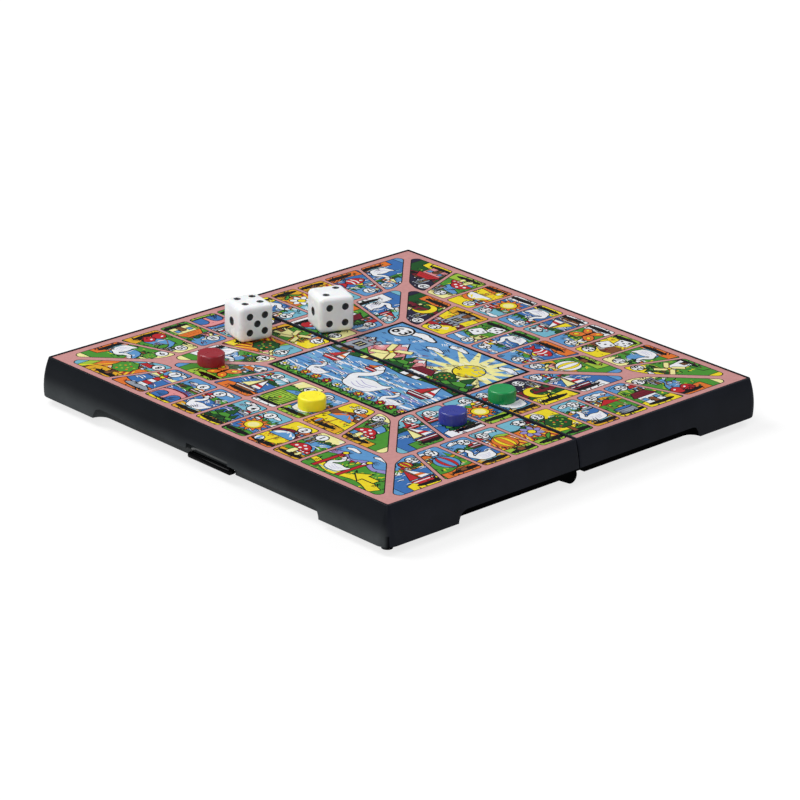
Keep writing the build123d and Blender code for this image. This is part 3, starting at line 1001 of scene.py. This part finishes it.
def well(art, rng):
    """Roofed well with a bucket."""
    for x in (-2.3, 2.3):
        art.stroke([complex(x, -2.5), complex(x, 3.2)], 0.5, "brown")
    art.draw([-3.6 + 2.6j, 3.6 + 2.6j, 5.2j], "red")
    art.stroke([0.2 + 2.6j, 0.2 - 0.2j], 0.16)
    art.draw(block(-0.2, -1.5, 0.7, 0.5, x=0.2), "ochre")
    art.draw(block(-1.8, -4.8, 3.1, 2.8), "grey")
    for k in range(3):
        art.stroke([complex(-2.8, -2.6 - 0.8 * k), complex(2.8, -2.6 - 0.8 * k)], 0.12)
    art.draw(ellipse(-1.8j, 3.1, 0.55, steps=16), "deep")


def maze(art, rng):
    """Square labyrinth."""
    art.draw(block(-4.4, 3.2, 3.8), "lime")
    middle = -0.6j
    gap = 0.5
    for k in range(3):
        half = 3.2 - 1.05 * k
        spin = (-1) ** k
        path = [complex(-gap, half), complex(-half, half), complex(-half, -half), complex(half, -half),
                complex(half, half), complex(gap, half)]
        for a, b in zip(path, path[1:]):
            art.stroke([middle + a * spin, middle + b * spin], 0.34, "dark_green")
    art.lay(ellipse(middle, 0.5, steps=8), "red")


def dice_pair(art, rng):
    """Two drawn dice."""
    for at, turn, pips in ((-1.5 - 2.2j, 12, 5), (1.4 + 2.0j, -18, 3)):
        spin = cmath.rect(1, math.radians(turn))
        art.draw(rounded([at + corner * 2.1 * spin for corner in block(-1, 1, 1)], 0.7), "white")
        for spot in (0j, 1 + 1j, -1 - 1j, 1 - 1j, -1 + 1j)[:pips]:
            art.lay(ellipse(at + spot * 1.15 * spin, 0.42, steps=8), "black")


def tower(art, rng):
    """Round tower with battlements and a barred window."""
    art.draw(block(-4.8, 2.6, 2.6, 2.3), "grey")
    for k in range(4):
        art.draw(block(2.5, 4.0, 0.45, x=1.65 * k - 2.45), "grey")
    art.draw(block(-0.9, 1.2, 1.1), "night")
    for x in (-0.5, 0.5):
        art.stroke([complex(x, -0.9), complex(x, 1.2)], 0.2, "cream")
    art.draw([-0.9 - 4.8j, 0.9 - 4.8j, 0.9 - 3j] + arc(-3j, 0.9, 0, 180, 6)[1:], "brown")


FAR = {
    "sea": (boat, balloon, lighthouse), "meadow": (house, tree, windmill), "harvest": (windmill, house, tree),
    "river": (pines, tower, tree), "night": (tower, pines, moon), "dawn": (boat, lighthouse),
    "bright": (house, pines, balloon), "field": (house, windmill, tower),
}
SPECIAL = {
    6: (bridge, "sea"), 12: (bridge, "dawn"), 19: (house, "night"), 26: (dice_pair, "harvest"),
    31: (well, "meadow"), 42: (maze, "river"), 52: (tower, "harvest"), 53: (dice_pair, "meadow"),
    58: (moon, "night"),
}
GEESE = (5, 9, 14, 18, 23, 27, 32, 36, 41, 45, 50, 54, 59)
ROUND = [
    (boat, "sea"), (house, "meadow"), (sun, "dawn"), (tree, "harvest"), (butterfly, "meadow"),
    (fish, "sea"), (windmill, "bright"), (mushroom, "river"), (kite, "sea"), (pines, "dawn"),
    (flower, "field"), (lighthouse, "sea"), (balloon, "meadow"), (cherries, "river"),
    (parasol, "harvest"), (moon, "night"), (boat, "dawn"), (balloon, "field"), (tree, "field"),
]


def picture_for(number):
    """Motif and scene of a numbered space."""
    if number in GEESE:
        return goose, ("sea", "river", "dawn", "sea")[GEESE.index(number) % 4]
    if number in SPECIAL:
        return SPECIAL[number]
    return ROUND[(number * 7) % len(ROUND)]


# Layout of the spaces: two rings round a middle panel, wound clockwise from the
# near right corner

# Along a ring's inner and outer edges, the dividers' places from the middle of a side
OUTER_RING = {
    "inner": 55.6, "near": (0, 12, 24, 36.2, 45.9, 55.6),
    "outer": 76.4, "far": (0, 12, 24, 36.6, 53.3, 76.4),
}
INNER_RING = {
    "inner": 31.6, "near": (0, 11.9, 23.6, 31.6),
    "outer": 53.4, "far": (0, 12.1, 30, 53.4),
}
PANEL_HALF = 28.8
PANEL_FRAME = 1.2        # width of the middle panel's black frame
SPACE_GAP = 0.9          # from a picture to its slot's edge
MITRE_GAP = 1.5          # from a picture to the board's diagonal
START_SLOTS = 2          # how many slots the first space takes
CORNER_CUT = 3.0         # where a picture's corner lies on the board's diagonal
CORNER_RADIUS = 1.1
DISC_RADIUS = 2.0


def divider(ring, index):
    """A divider's ends on the near side, outer end first."""
    side = math.copysign(1, index)
    outer = complex(side * ring["far"][abs(index)], -ring["outer"])
    inner = complex(side * ring["near"][abs(index)], -ring["inner"])
    return [outer, inner]


def inset(corners, margins):
    """Moves each edge of a convex polygon inwards by its own margin."""
    n = len(corners)
    lines = []
    for k in range(n):
        along = corners[(k + 1) % n] - corners[k]
        along /= abs(along)
        lines.append((corners[k] + along * 1j * margins[k], along))
    out = []
    for k in range(n):
        (p, u), (q, v) = lines[k - 1], lines[k]
        cross = (u.conjugate() * v).imag
        t = ((q - p).conjugate() * v).imag / cross
        out.append(p + u * t)
    return out


def spaces():
    """Every space in playing order: its outline, middle and the turn of its side."""
    found = []
    for ring in (OUTER_RING, INNER_RING):
        end = len(ring["near"]) - 1
        for side in (0, 3, 2, 1):
            turn = 1j ** side
            slots = [(k, k + 1) for k in reversed(range(-end, end))]
            if ring is OUTER_RING and side == 0:
                slots = [(end - START_SLOTS, end)] + slots[START_SLOTS:]
            for first, last in slots:
                corners = divider(ring, first)[:1] + divider(ring, last) + divider(ring, first)[1:]
                right = MITRE_GAP if last == end else SPACE_GAP
                left = MITRE_GAP if first == -end else SPACE_GAP
                corners = inset(corners, [0, right, 0, left])
                middle = sum(corners) / 4
                right_cut = CORNER_CUT * (last == end)
                left_cut = CORNER_CUT * (first == -end)
                cut = rounded(corners, [left_cut, right_cut, right_cut, left_cut], 1)
                outline = rounded(cut, CORNER_RADIUS)
                found.append(([c * turn for c in corners], [c * turn for c in outline], middle * turn, turn))
    return found


def draw_space(art, number, corners, outline, middle, turn):
    """One picture: scene, a small far motif, the near motif and the number disc."""
    rng = random.Random(1000 + number)
    motif, scene = picture_for(number)
    backdrop, paint = SCENES[scene]
    side = -1 if number % 2 else 1
    art.frame_window(outline, backdrop)
    art.put(paint, rng, middle, turn)
    hatching(art, rng, 9, -5, 9, inks=("black", "black", "black", "white", "maroon"))
    shore(art, rng)
    art.put(rng.choice(FAR[scene]), rng, middle + (3.2 * side + 4.8j) * turn, turn * 0.62)
    art.place(middle + (rng.uniform(-0.4, 0.4) - 2.6j) * turn, turn * 1.2)
    art.lay(ellipse(0.6 - 4.9j, 4.8, 1.0), "black")
    motif(art, rng)
    hatching(art, rng, 3, -7, -3, 4)
    inner_edge = sorted((c / turn for c in corners), key=lambda c: -c.imag)[:2]
    spot = max(inner_edge, key=lambda c: c.real * side)
    art.place(0j, turn)
    number_disc(art, spot + complex(-3.1 * side, -3.2), number, DISC_RADIUS)


def draw_start(art, outline, middle, turn):
    """The wide first space: a gate with bunting, a goose, and an arrow along the way."""
    rng = random.Random(7)
    art.frame_window(outline, "sky")
    art.place(middle, turn)
    for at in (-9 + 8j, 2 + 9j):
        cloud(art, at, 1.1)
    hills(art, 4.0, 1.4, "lilac", rng, reach=24)
    hatching(art, rng, 12, 1, 6, 18, ("black", "night", "maroon"))
    hills(art, 1.5, 0.8, "green", rng, reach=24)
    tufts(art, rng, ["dark_green", "lime", "black", "yellow"], -11, 1, 90, 19)
    path = curve([18 - 9j, 9 - 6j, -2 - 8j, -12 - 5j, -20 - 6j])
    art.draw(ribbon(path, 4.0, 1.6), "yellow")
    hatching(art, rng, 12, -10, 0, 18)
    for x in (-9, 1.5):
        art.draw(block(-9, 4, 0.6, x=x), "red")
        art.draw(ellipse(complex(x, 4.7), 0.9, steps=12), "yellow")
    rope = curve([-9 + 3.6j, -3.7 + 1.8j, 1.5 + 3.6j], 6)
    art.stroke(rope, 0.2)
    for k in range(1, 12, 2):
        art.draw([rope[k] - 0.7, rope[k] + 0.7, rope[k] - 1.6j], ("yellow", "red", "white")[k % 3], 0.8)
    art.put(goose, rng, middle + (-3.7 - 3.4j) * turn, turn * 1.15)
    art.place(middle + (10 - 4j) * turn, turn * 1.2)
    art.draw([3 - 1j, 3 + 1j, -1 + 1j, -1 + 2.6j, -4.4 + 0j, -1 - 2.6j, -1 - 1j], "yellow", 1.4)


def draw_panel(art):
    """The middle panel, the last space: hills, a lake, a mill, sails and geese."""
    rng = random.Random(63)
    art.frame_window(block(-PANEL_HALF, PANEL_HALF, PANEL_HALF), "sky", PANEL_FRAME)
    sun_at = 17 + 15j
    art.lay([sun_at + cmath.rect(22 if k % 2 else 8, k * math.pi / 16) for k in range(32)], "cream")
    art.draw(ellipse(sun_at, 5.2, steps=30), "yellow", 1.3)
    for k in range(46):
        at = somewhere(rng, -29, 29, 12, 28)
        ink = rng.choice(["deep", "white", "cyan", "night"])
        art.stroke([at, at + 1.6 - 0.5j, at + 3.4 - 0.3j], 0.1, ink, 0.5)
    for at, size in ((-15 + 25j, 1.7), (1 + 26j, 1.2), (-4 + 20j, 1.1), (25 + 25j, 1.3)):
        art.place(at, size)
        cloud(art, 0j, 1.3)
    art.place()
    peaks = [-32 + 2j, -25 + 13j, -20 + 8j, -13 + 17j, -5 + 7j, 1 + 11j, 8 + 4j, 16 + 9j, 24 + 3j, 32 + 8j]
    art.draw(peaks + [32 - 10j, -32 - 10j], "rose", 1.3)
    for peak in peaks[1::2][:4]:
        snow = (0, 1.9 - 2.6j, 0.7 - 2.0j, -0.3 - 3.2j, -1.1 - 2.0j, -1.8 - 2.8j)
        art.draw([peak + point for point in snow], "white", 0.7)
        for k in range(12):
            ridge = peak + complex(rng.uniform(-3, 5), -3.5 - 0.9 * k)
            ink = rng.choice(["black", "maroon", "white", "lilac"])
            art.stroke([ridge, ridge + 1.8 - 2.4j], 0.7, ink, 0.1)
    hatching(art, rng, 70, 3, 14, 29, ("black", "maroon", "night", "white"))
    hatching(art, rng, 36, 14, 27, 29, ("deep", "night", "white"))
    hills(art, 3.2, 1.6, "green", rng, reach=32)
    tufts(art, rng, ["lime", "black", "dark_green", "yellow"], 0, 3.5, 60, 30)
    hills(art, 0.5, 1.4, "dark_green", rng, reach=32)
    tufts(art, rng, ["lime", "green", "black", "black"], -3, 1.5, 80, 30)
    for motif, at, size in ((tower, -24 + 5j, 1.5), (windmill, -12 + 5j, 1.6), (pines, -3 + 5j, 1.2),
                            (house, 7 + 2.5j, 1.2), (tree, 15 + 4j, 1.0), (pines, 23 + 5j, 1.5)):
        art.put(motif, rng, at, size)
    art.place()
    bank = curve([-32 - 3j, -20 - 4.5j, -8 - 2j, 6 - 3.5j, 18 - 2j, 32 - 4j], 5)
    art.draw(bank + [32 - 32j, -32 - 32j], "sky", 1.3)
    for k in range(7):
        level = -7.5 - 2.9 * k
        band = curve([complex(x, level + rng.uniform(-0.7, 0.7)) for x in range(-32, 33, 8)], 2)
        art.lay(ribbon(band, 0.5, 1.3), ("deep", "white", "cyan", "lilac")[k % 4])
    waves(art, rng, -26, -5, 170, 29)
    hatching(art, rng, 50, -26, -5, 29, ("black", "night", "white", "white", "deep"))
    for at, size in ((-21 - 7j, 1.0), (-5 - 5.5j, 0.7), (21 - 8j, 1.25)):
        art.put(boat, rng, at, size)
    for at, size in ((2 - 15j, 2.3), (-16 - 20j, 1.1), (19 - 21j, 1.2)):
        art.put(goose, rng, at, size)
    art.place()
    bank = curve([-32 - 24j, -24 - 25.5j, -16 - 27j, -4 - 26j, 8 - 27.5j, 20 - 25.5j, 32 - 24.5j])
    art.draw(bank + [32 - 34j, -32 - 34j], "green")
    tufts(art, rng, ["dark_green", "lime", "black", "black"], -29, -26, 90, 30)
    for x in range(-27, 29, 5):
        art.put(flower, rng, complex(x, -26), 0.5)
    art.place()
    number_disc(art, -23.4 + 23.4j, 63, 3.9)


def whole_drawing():
    """The middle panel and every space, in millimetres."""
    art = Drawing()
    draw_panel(art)
    for number, (corners, outline, middle, turn) in enumerate(spaces()):
        if number:
            draw_space(art, number, corners, outline, middle, turn)
        else:
            draw_start(art, outline, middle, turn)
    return art


SHEET_CORNER = 0.6       # radius of a sheet's outer corners
NEAR_SHEET = 0.5         # shapes further than this from a sheet are left out
WELD = 1e-5              # corners closer than this are one


def split_sheet(art, edge):
    """Triangles of a sheet split along every shape's outline, and each one's ink."""
    low = min(p.imag for p in edge) - NEAR_SHEET
    high = max(p.imag for p in edge) + NEAR_SHEET
    outlines = [edge]
    shown = []
    for outline, ink in art.shapes:
        heights = [p.imag for p in outline]
        if max(heights) > low and min(heights) < high:
            outlines.append(outline)
            shown.append((outline, ink))
    points = []
    lines = []
    for outline in outlines:
        first = len(points)
        count = len(outline)
        points += [Vector((p.real, p.imag)) for p in outline]
        lines += [(first + k, first + (k + 1) % count) for k in range(count)]
    corners, _, triangles, *_ = delaunay_2d_cdt(points, lines, [], 0, WELD, False)
    flat = np.array([complex(*corner) for corner in corners])
    triangles = np.array(triangles)
    middles = flat[triangles].mean(axis=1)
    order = np.argsort(middles.real)
    order = order[inside(edge, middles[order])]
    triangles = triangles[order]
    middles = middles[order]
    names = list(INKS)
    inks = np.full(len(middles), names.index("ground"))
    for outline, ink in shown:
        start = np.searchsorted(middles.real, min(p.real for p in outline))
        stop = np.searchsorted(middles.real, max(p.real for p in outline))
        covered = inside(outline, middles[start:stop])
        inks[start:stop][covered] = names.index(ink)
    return flat, triangles, inks


def printed_sheet(name, node, body, art, material):
    """Closed sheet in its node's place, whose top is split along every inked shape."""
    low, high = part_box(node)
    front = low.y < -high.y
    seam_y, outer_y = (high.y, low.y) if front else (low.y, high.y)
    corners = ((low.x, seam_y), (low.x, outer_y), (high.x, outer_y), (high.x, seam_y))
    edge = rounded([complex(x, y) / MM for x, y in corners], [0, SHEET_CORNER, SHEET_CORNER, 0], 4)
    flat, triangles, inks = split_sheet(art, edge)
    levels = list(INKS.values())
    bm = bmesh.new()
    ink_layer = bm.loops.layers.float_color.new("ink")
    uv_layer = bm.loops.layers.uv.new("OFBake")
    made = {}
    for corners, ink in zip(triangles.tolist(), inks.tolist()):
        for k in corners:
            if k not in made:
                made[k] = bm.verts.new((flat[k].real * MM, flat[k].imag * MM, high.z))
        face = bm.faces.new([made[k] for k in corners])
        for loop in face.loops:
            loop[ink_layer] = (*levels[ink], 1.0)
    rim = [e for e in bm.edges if e.is_boundary]
    walls = bmesh.ops.extrude_edge_only(bm, edges=rim)["geom"]
    bmesh.ops.translate(bm, verts=only_verts(walls), vec=(0, 0, low.z - high.z))
    base = [e for e in walls if isinstance(e, bmesh.types.BMEdge) and e.is_boundary]
    bmesh.ops.contextual_create(bm, geom=base)
    bmesh.ops.recalc_face_normals(bm, faces=bm.faces)
    for face in bm.faces:
        printed = face.normal.z > 0.9
        for loop in face.loops:
            if not printed:
                loop[ink_layer] = (*INKS["white"], 1.0)
            across = (loop.vert.co - low) / (high.x - low.x)
            loop[uv_layer].uv = (across.x, across.y * 2)
    return add_piece(name, bm, body, material, "printed_laminate", node)


# The latch: the clasp, and the end of the notch in which it hangs

CLASP_LOW, CLASP_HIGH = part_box("latch_clasp")
BARREL_Y = CLASP_HIGH.y - 1.3 * MM
BARREL_Z = CLASP_HIGH.z - 1.3 * MM
BARREL_RADIUS = 1.65 * MM
TRUNNION_RADIUS = 0.8 * MM
NOTCH_END = CLASP_HIGH.x - 1.3 * MM
NOTCH_TOP = RIM_PLANE + 5.5 * MM
NOTCH_FILL = 3.45 * MM           # how much shorter the notch is than in the shell's node
CLASP_SPAN = (CLASP_LOW.x + 1.5 * MM, NOTCH_END - 3.7 * MM)
LIP_FRONT = BARREL_Y - 1.3 * MM
LIP_BACK = BARREL_Y - 0.3 * MM
CLASP_FOOT = RIM_PLANE + 0.3 * MM
FINGER_BAR = 1.05 * MM           # radius of the bar along the lip's foot
BAR_Y = LIP_FRONT - 0.7 * MM
HOOK = (0.5 * MM, 0.3 * MM, 0.9 * MM)      # its reach, the height of its nose and its top
TRUNNION_PLAY = 0.2 * MM
SCOOP_RADIUS = 3.9 * MM
SCOOP_Y = SHELL_LOW.y - 0.1 * MM
SCOOP_TURN = math.radians(85.6)
WALL_LEAN = 2.2 * MM             # how far a long wall leans in over its height


def extruded(bm, section, start, end):
    """Closed bar along X with a section in Y and Z."""
    face = bm.faces.new([bm.verts.new((start, y, z)) for y, z in section])
    moved = bmesh.ops.extrude_face_region(bm, geom=[face])["geom"]
    bmesh.ops.translate(bm, verts=only_verts(moved), vec=(end - start, 0, 0))


def round_section(y, z, radius, start, end, steps):
    """Points along an arc in Y and Z between two angles in radians."""
    angles = [start + (end - start) * k / steps for k in range(steps + 1)]
    return [(y + radius * math.cos(a), z + radius * math.sin(a)) for a in angles]


def clasp(material):
    """Hanging lip with a finger bar and a hook under a round barrel with two trunnions."""
    front_turn = math.acos((LIP_FRONT - BARREL_Y) / BARREL_RADIUS)
    back_turn = math.acos((LIP_BACK - BARREL_Y) / BARREL_RADIUS)
    bar_turn = math.acos((LIP_FRONT - BAR_Y) / FINGER_BAR)
    section = round_section(BARREL_Y, BARREL_Z, BARREL_RADIUS, -back_turn, 2 * math.pi - front_turn, 28)
    section += round_section(BAR_Y, CLASP_FOOT + FINGER_BAR, FINGER_BAR, bar_turn, 1.5 * math.pi, 10)
    reach, nose, top = HOOK
    for out, up in ((0, 0), (reach, nose), (reach, top), (0, top)):
        section.append((LIP_BACK + out, CLASP_FOOT + up))
    bm = bmesh.new()
    extruded(bm, section, *CLASP_SPAN)
    ends = [e for e in bm.edges if abs(e.verts[0].co.x - e.verts[1].co.x) < SAME_PLACE]
    bmesh.ops.bevel(bm, geom=ends, offset=0.12 * MM, affect="EDGES", segments=2, profile=0.5, material=-1)
    trunnion = round_section(BARREL_Y, BARREL_Z, TRUNNION_RADIUS, 0, 2 * math.pi * 23 / 24, 23)
    extruded(bm, trunnion, CLASP_LOW.x, CLASP_SPAN[0] + TRUNNION_PLAY)
    extruded(bm, trunnion, CLASP_SPAN[1] - TRUNNION_PLAY, CLASP_HIGH.x)
    add_piece("clasp_body", bm, "clasp", material, "clasp_plastic", "latch_clasp", sharp=35)


def notch_end(material):
    """Wall that closes the right end of the notch, over the clasp's trunnion."""
    section = round_section(SCOOP_Y, RIM_PLANE, SCOOP_RADIUS, 0, SCOOP_TURN, 10)
    scoop_end = section[-1][1]
    for k in range(1, 4):
        z = scoop_end + (NOTCH_TOP - scoop_end) * k / 3
        section.append((SHELL_LOW.y + WALL_LEAN * ((z - RIM_PLANE) / SHELL_HEIGHT) ** 2, z))
    inner = BARREL_Y - TRUNNION_RADIUS - TRUNNION_PLAY
    back = BARREL_Y + 0.4 * MM
    shelf = BARREL_Z - TRUNNION_RADIUS - 0.15 * MM
    section += [(inner, NOTCH_TOP), (inner, shelf), (back, shelf), (back, RIM_PLANE)]
    bm = bmesh.new()
    extruded(bm, section, NOTCH_END - NOTCH_FILL, NOTCH_END)
    add_piece("notch_end", bm, "front_half", material, "black_plastic", sharp=35)


# Counters and dice

def counter(colour, material):
    """Cap turned from its section, with a rounded top edge and a pocket for its magnet."""
    low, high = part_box("counter_" + colour)
    centre = (low + high) / 2
    radius = (high.x - low.x) / 2
    height = high.z - low.z
    edge = 0.7 * MM
    pocket = 3.05 * MM
    pocket_depth = 2.0 * MM
    section = [(0, pocket_depth), (pocket, pocket_depth), (pocket, 0)]
    section += [(radius - 0.12 * MM, 0), (radius, 0.15 * MM), (radius, height - edge)]
    for k in range(1, 5):
        angle = math.radians(22.5 * k)
        section.append((radius - edge + edge * math.cos(angle), height - edge + edge * math.sin(angle)))
    section += [(radius - 0.9 * MM, height - 0.02 * MM), (0, height)]
    bm = bmesh.new()
    verts = [bm.verts.new((centre.x + r, centre.y, low.z + z)) for r, z in section]
    edges = [bm.edges.new(pair) for pair in zip(verts, verts[1:])]
    bmesh.ops.spin(bm, geom=verts + edges, cent=(centre.x, centre.y, 0), axis=(0, 0, 1), angle=2 * math.pi,
                   steps=64, use_merge=True)
    bmesh.ops.remove_doubles(bm, verts=bm.verts, dist=SAME_PLACE)
    add_piece("counter_cap_" + colour, bm, colour + "_counter", material, colour + "_plastic",
              "counter_" + colour, sharp=35)


PIP_PATTERNS = {
    1: [(0, 0)],
    2: [(-1, -1), (1, 1)],
    3: [(-1, -1), (0, 0), (1, 1)],
    4: [(-1, -1), (1, 1), (-1, 1), (1, -1)],
    5: [(-1, -1), (1, 1), (-1, 1), (1, -1), (0, 0)],
    6: [(-1, -1), (1, 1), (-1, 1), (1, -1), (-1, 0), (1, 0)],
}
# Shares of a die's edge
DIE_ROUNDING = 0.145
PIP_RADIUS = 0.0968
PIP_DEPTH = 0.036
PIP_SPREAD = 0.2218
ACE_SIZE = 1.25          # how much larger the single pip is


def die(name, body, material, turn, top, front, side):
    """Rounded cube with inked dimples, cut in the node's place."""
    low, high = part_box(name)
    edge = high.z - low.z
    bm = bmesh.new()
    bmesh.ops.create_cube(bm, size=edge)
    bmesh.ops.bevel(bm, geom=bm.edges[:], offset=DIE_ROUNDING * edge, affect="EDGES", segments=6, profile=0.5,
                    material=-1)
    blank = linked_object(name, bm)
    pip = PIP_RADIUS * edge
    depth = PIP_DEPTH * edge
    ball = (pip ** 2 + depth ** 2) / (2 * depth)
    faces = [
        ((0, 0, 1), (1, 0, 0), top), ((0, 0, -1), (1, 0, 0), 7 - top),
        ((0, -1, 0), (1, 0, 0), front), ((0, 1, 0), (-1, 0, 0), 7 - front),
        ((-1, 0, 0), (0, -1, 0), side), ((1, 0, 0), (0, 1, 0), 7 - side),
    ]
    cutter = bmesh.new()
    spots = []
    for normal, across, count in faces:
        normal = Vector(normal)
        across = Vector(across)
        up = normal.cross(across)
        size = ACE_SIZE if count == 1 else 1.0
        for u, v in PIP_PATTERNS[count]:
            spot = normal * edge / 2 + (across * u + up * v) * PIP_SPREAD * edge
            spots.append((spot, normal, pip * size))
            made = bmesh.ops.create_icosphere(cutter, subdivisions=4, radius=ball * size)["verts"]
            bmesh.ops.translate(cutter, verts=made, vec=spot + normal * (ball - depth) * size)
    cut = linked_object("dimples", cutter)
    boolean = blank.modifiers.new("dimples", "BOOLEAN")
    boolean.operation = "DIFFERENCE"
    boolean.solver = "EXACT"
    boolean.object = cut
    bpy.context.view_layer.update()
    shaped = bpy.data.meshes.new_from_object(blank.evaluated_get(bpy.context.evaluated_depsgraph_get()))
    bpy.data.objects.remove(blank)
    bpy.data.objects.remove(cut)
    bm = bmesh.new()
    bm.from_mesh(shaped)
    ink = bm.loops.layers.float_color.new("pip_ink")
    for face in bm.faces:
        at = face.calc_center_median()
        inked = any((at - spot).length < reach * 1.1 and (at - spot).dot(normal) < -0.01 * depth
                    for spot, normal, reach in spots)
        for loop in face.loops:
            loop[ink] = (float(inked),) * 3 + (1.0,)
    turned = Matrix.Rotation(math.radians(turn), 3, "Z")
    bmesh.ops.rotate(bm, verts=bm.verts, cent=(0, 0, 0), matrix=turned)
    bmesh.ops.translate(bm, verts=bm.verts, vec=(low + high) / 2)
    add_piece(name + "_body", bm, body, material, "white_plastic", name, sharp=30)


# Studio

WORLD_LIGHT = 0.21
FLOOR_SIZE = 4.0         # half its side
FLOOR_LIT = 0.26         # the part of the floor's paleness that keeps a shadow
FLOOR_GLOW = 0.76        # the part that doesn't
FLOOR_FADE = (0.4, 1.2)  # distances over which the floor turns as white as the backdrop
LAMP_SIZE = 0.8
LAMP_AIM = Vector((0, 0, 0.01))
LAMPS = {                # place and watts
    "key": ((-0.8, -0.55, 1.25), 19.5),
    "fill": ((0.5, -1.1, 0.7), 6.5),
    "rim": ((0.3, 1.0, 1.1), 8.0),
}


def floor():
    """Pale floor that keeps a light shadow and is white where it ends."""
    made = Finish("studio_floor", Roughness=0.9, Specular_IOR_Level=0.0, Emission_Strength=1.0)
    made.feed("Base Color", (FLOOR_LIT,) * 3)
    seen = made.node("ShaderNodeLightPath", output="Is Camera Ray")
    shine = made.node("ShaderNodeLightPath", output="Is Glossy Ray")
    through = made.node("ShaderNodeLightPath", output="Is Transmission Ray")
    away = made.node("ShaderNodeVectorMath", {"operation": "LENGTH"}, {0: made.place()}, output="Value")
    far = made.step(away, *FLOOR_FADE)
    made.feed("Emission Color", (seen + shine + through) * FLOOR_GLOW + seen * far * (1 - FLOOR_GLOW))
    bm = bmesh.new()
    bmesh.ops.create_grid(bm, x_segments=1, y_segments=1, size=FLOOR_SIZE)
    plane = linked_object("studio_floor", bm)
    plane.data.materials.append(made.material)


def world_light():
    """Soft even light from all round, that the camera sees as white."""
    world = bpy.data.worlds.new("studio")
    world.use_nodes = True
    nodes = world.node_tree.nodes
    links = world.node_tree.links
    backdrop = nodes["Background"]
    backdrop.inputs["Color"].default_value = (1.0, 1.0, 1.0, 1.0)
    strength = nodes.new("ShaderNodeMath")
    strength.operation = "MULTIPLY_ADD"
    strength.inputs[1].default_value = 1.0 - WORLD_LIGHT
    strength.inputs[2].default_value = WORLD_LIGHT
    links.new(nodes.new("ShaderNodeLightPath").outputs["Is Camera Ray"], strength.inputs[0])
    links.new(strength.outputs[0], backdrop.inputs["Strength"])
    bpy.context.scene.world = world


def lamps():
    """Three soft lamps that point at the board."""
    for name, (where, watts) in LAMPS.items():
        data = bpy.data.lights.new(name, "AREA")
        data.size = LAMP_SIZE
        data.energy = watts
        lamp = bpy.data.objects.new(name, data)
        lamp.location = where
        lamp.rotation_euler = (LAMP_AIM - Vector(where)).to_track_quat("-Z", "Y").to_euler()
        bpy.context.scene.collection.objects.link(lamp)


def camera():
    """The photograph's view: a long lens from the near right, a little rolled."""
    azimuth = 46.18
    elevation = 21.75
    roll = 1.28
    distance = 1.2698
    aim = Vector((0.0211, -0.01937, BOARD_TOP))
    a = math.radians(azimuth)
    e = math.radians(elevation)
    r = math.radians(roll)
    back = Vector((math.sin(a) * math.cos(e), -math.cos(a) * math.cos(e), math.sin(e)))
    level = Vector((math.cos(a), math.sin(a), 0))
    right = level * math.cos(r) + back.cross(level) * math.sin(r)
    data = bpy.data.cameras.new("camera")
    data.sensor_width = 36.0
    data.lens = 181.36
    data.clip_start = 0.05
    data.clip_end = 50.0
    made = bpy.data.objects.new("camera", data)
    made.matrix_world = Matrix.Translation(aim + back * distance) @ Matrix(
        (right, back.cross(right), back)
    ).transposed().to_4x4()
    bpy.context.scene.collection.objects.link(made)
    bpy.context.scene.camera = made


# The whole set

def build():
    """Every piece with its finish, the printed faces, the studio and the camera."""
    black = moulded_black()
    for node in ("front_case_half", "back_case_half"):
        finish_node(node, black)
    clasp(clasp_black())
    notch_end(black)
    tin = metal("rolled_tinplate", srgb(190, 192, 194), 0.3, 0.45, 60, (1, 12, 1))
    for node in ("front_steel_sheet", "back_steel_sheet"):
        finish_node(node, tin)
    wire = metal("pin_wire", srgb(176, 178, 180), 0.2, 0.35)
    for node in ("hinge_pin_left", "hinge_pin_right"):
        finish_node(node, wire)
    nickel = metal("magnet_nickel", srgb(168, 168, 172), 0.18, 0.3)
    colours = {
        "red": srgb(150, 30, 44),
        "yellow": srgb(255, 240, 40),
        "blue": srgb(48, 58, 150),
        "green": srgb(22, 146, 78),
    }
    for colour, level in colours.items():
        counter(colour, counter_plastic(colour + "_counter_plastic", level))
        finish_node("magnet_" + colour, nickel)
    white = die_plastic()
    die("die_left", "left_die", white, turn=76.8, top=4, front=5, side=1)
    die("die_right", "right_die", white, turn=68.6, top=2, front=4, side=1)
    film = printed_film()
    art = whole_drawing()
    printed_sheet("front_print", "front_printed_sheet", "front_half", art, film)
    printed_sheet("back_print", "back_printed_sheet", "back_half", art, film)
    floor()
    world_light()
    lamps()
    camera()


build()
bpy.context.scene.view_settings.view_transform = "Standard"
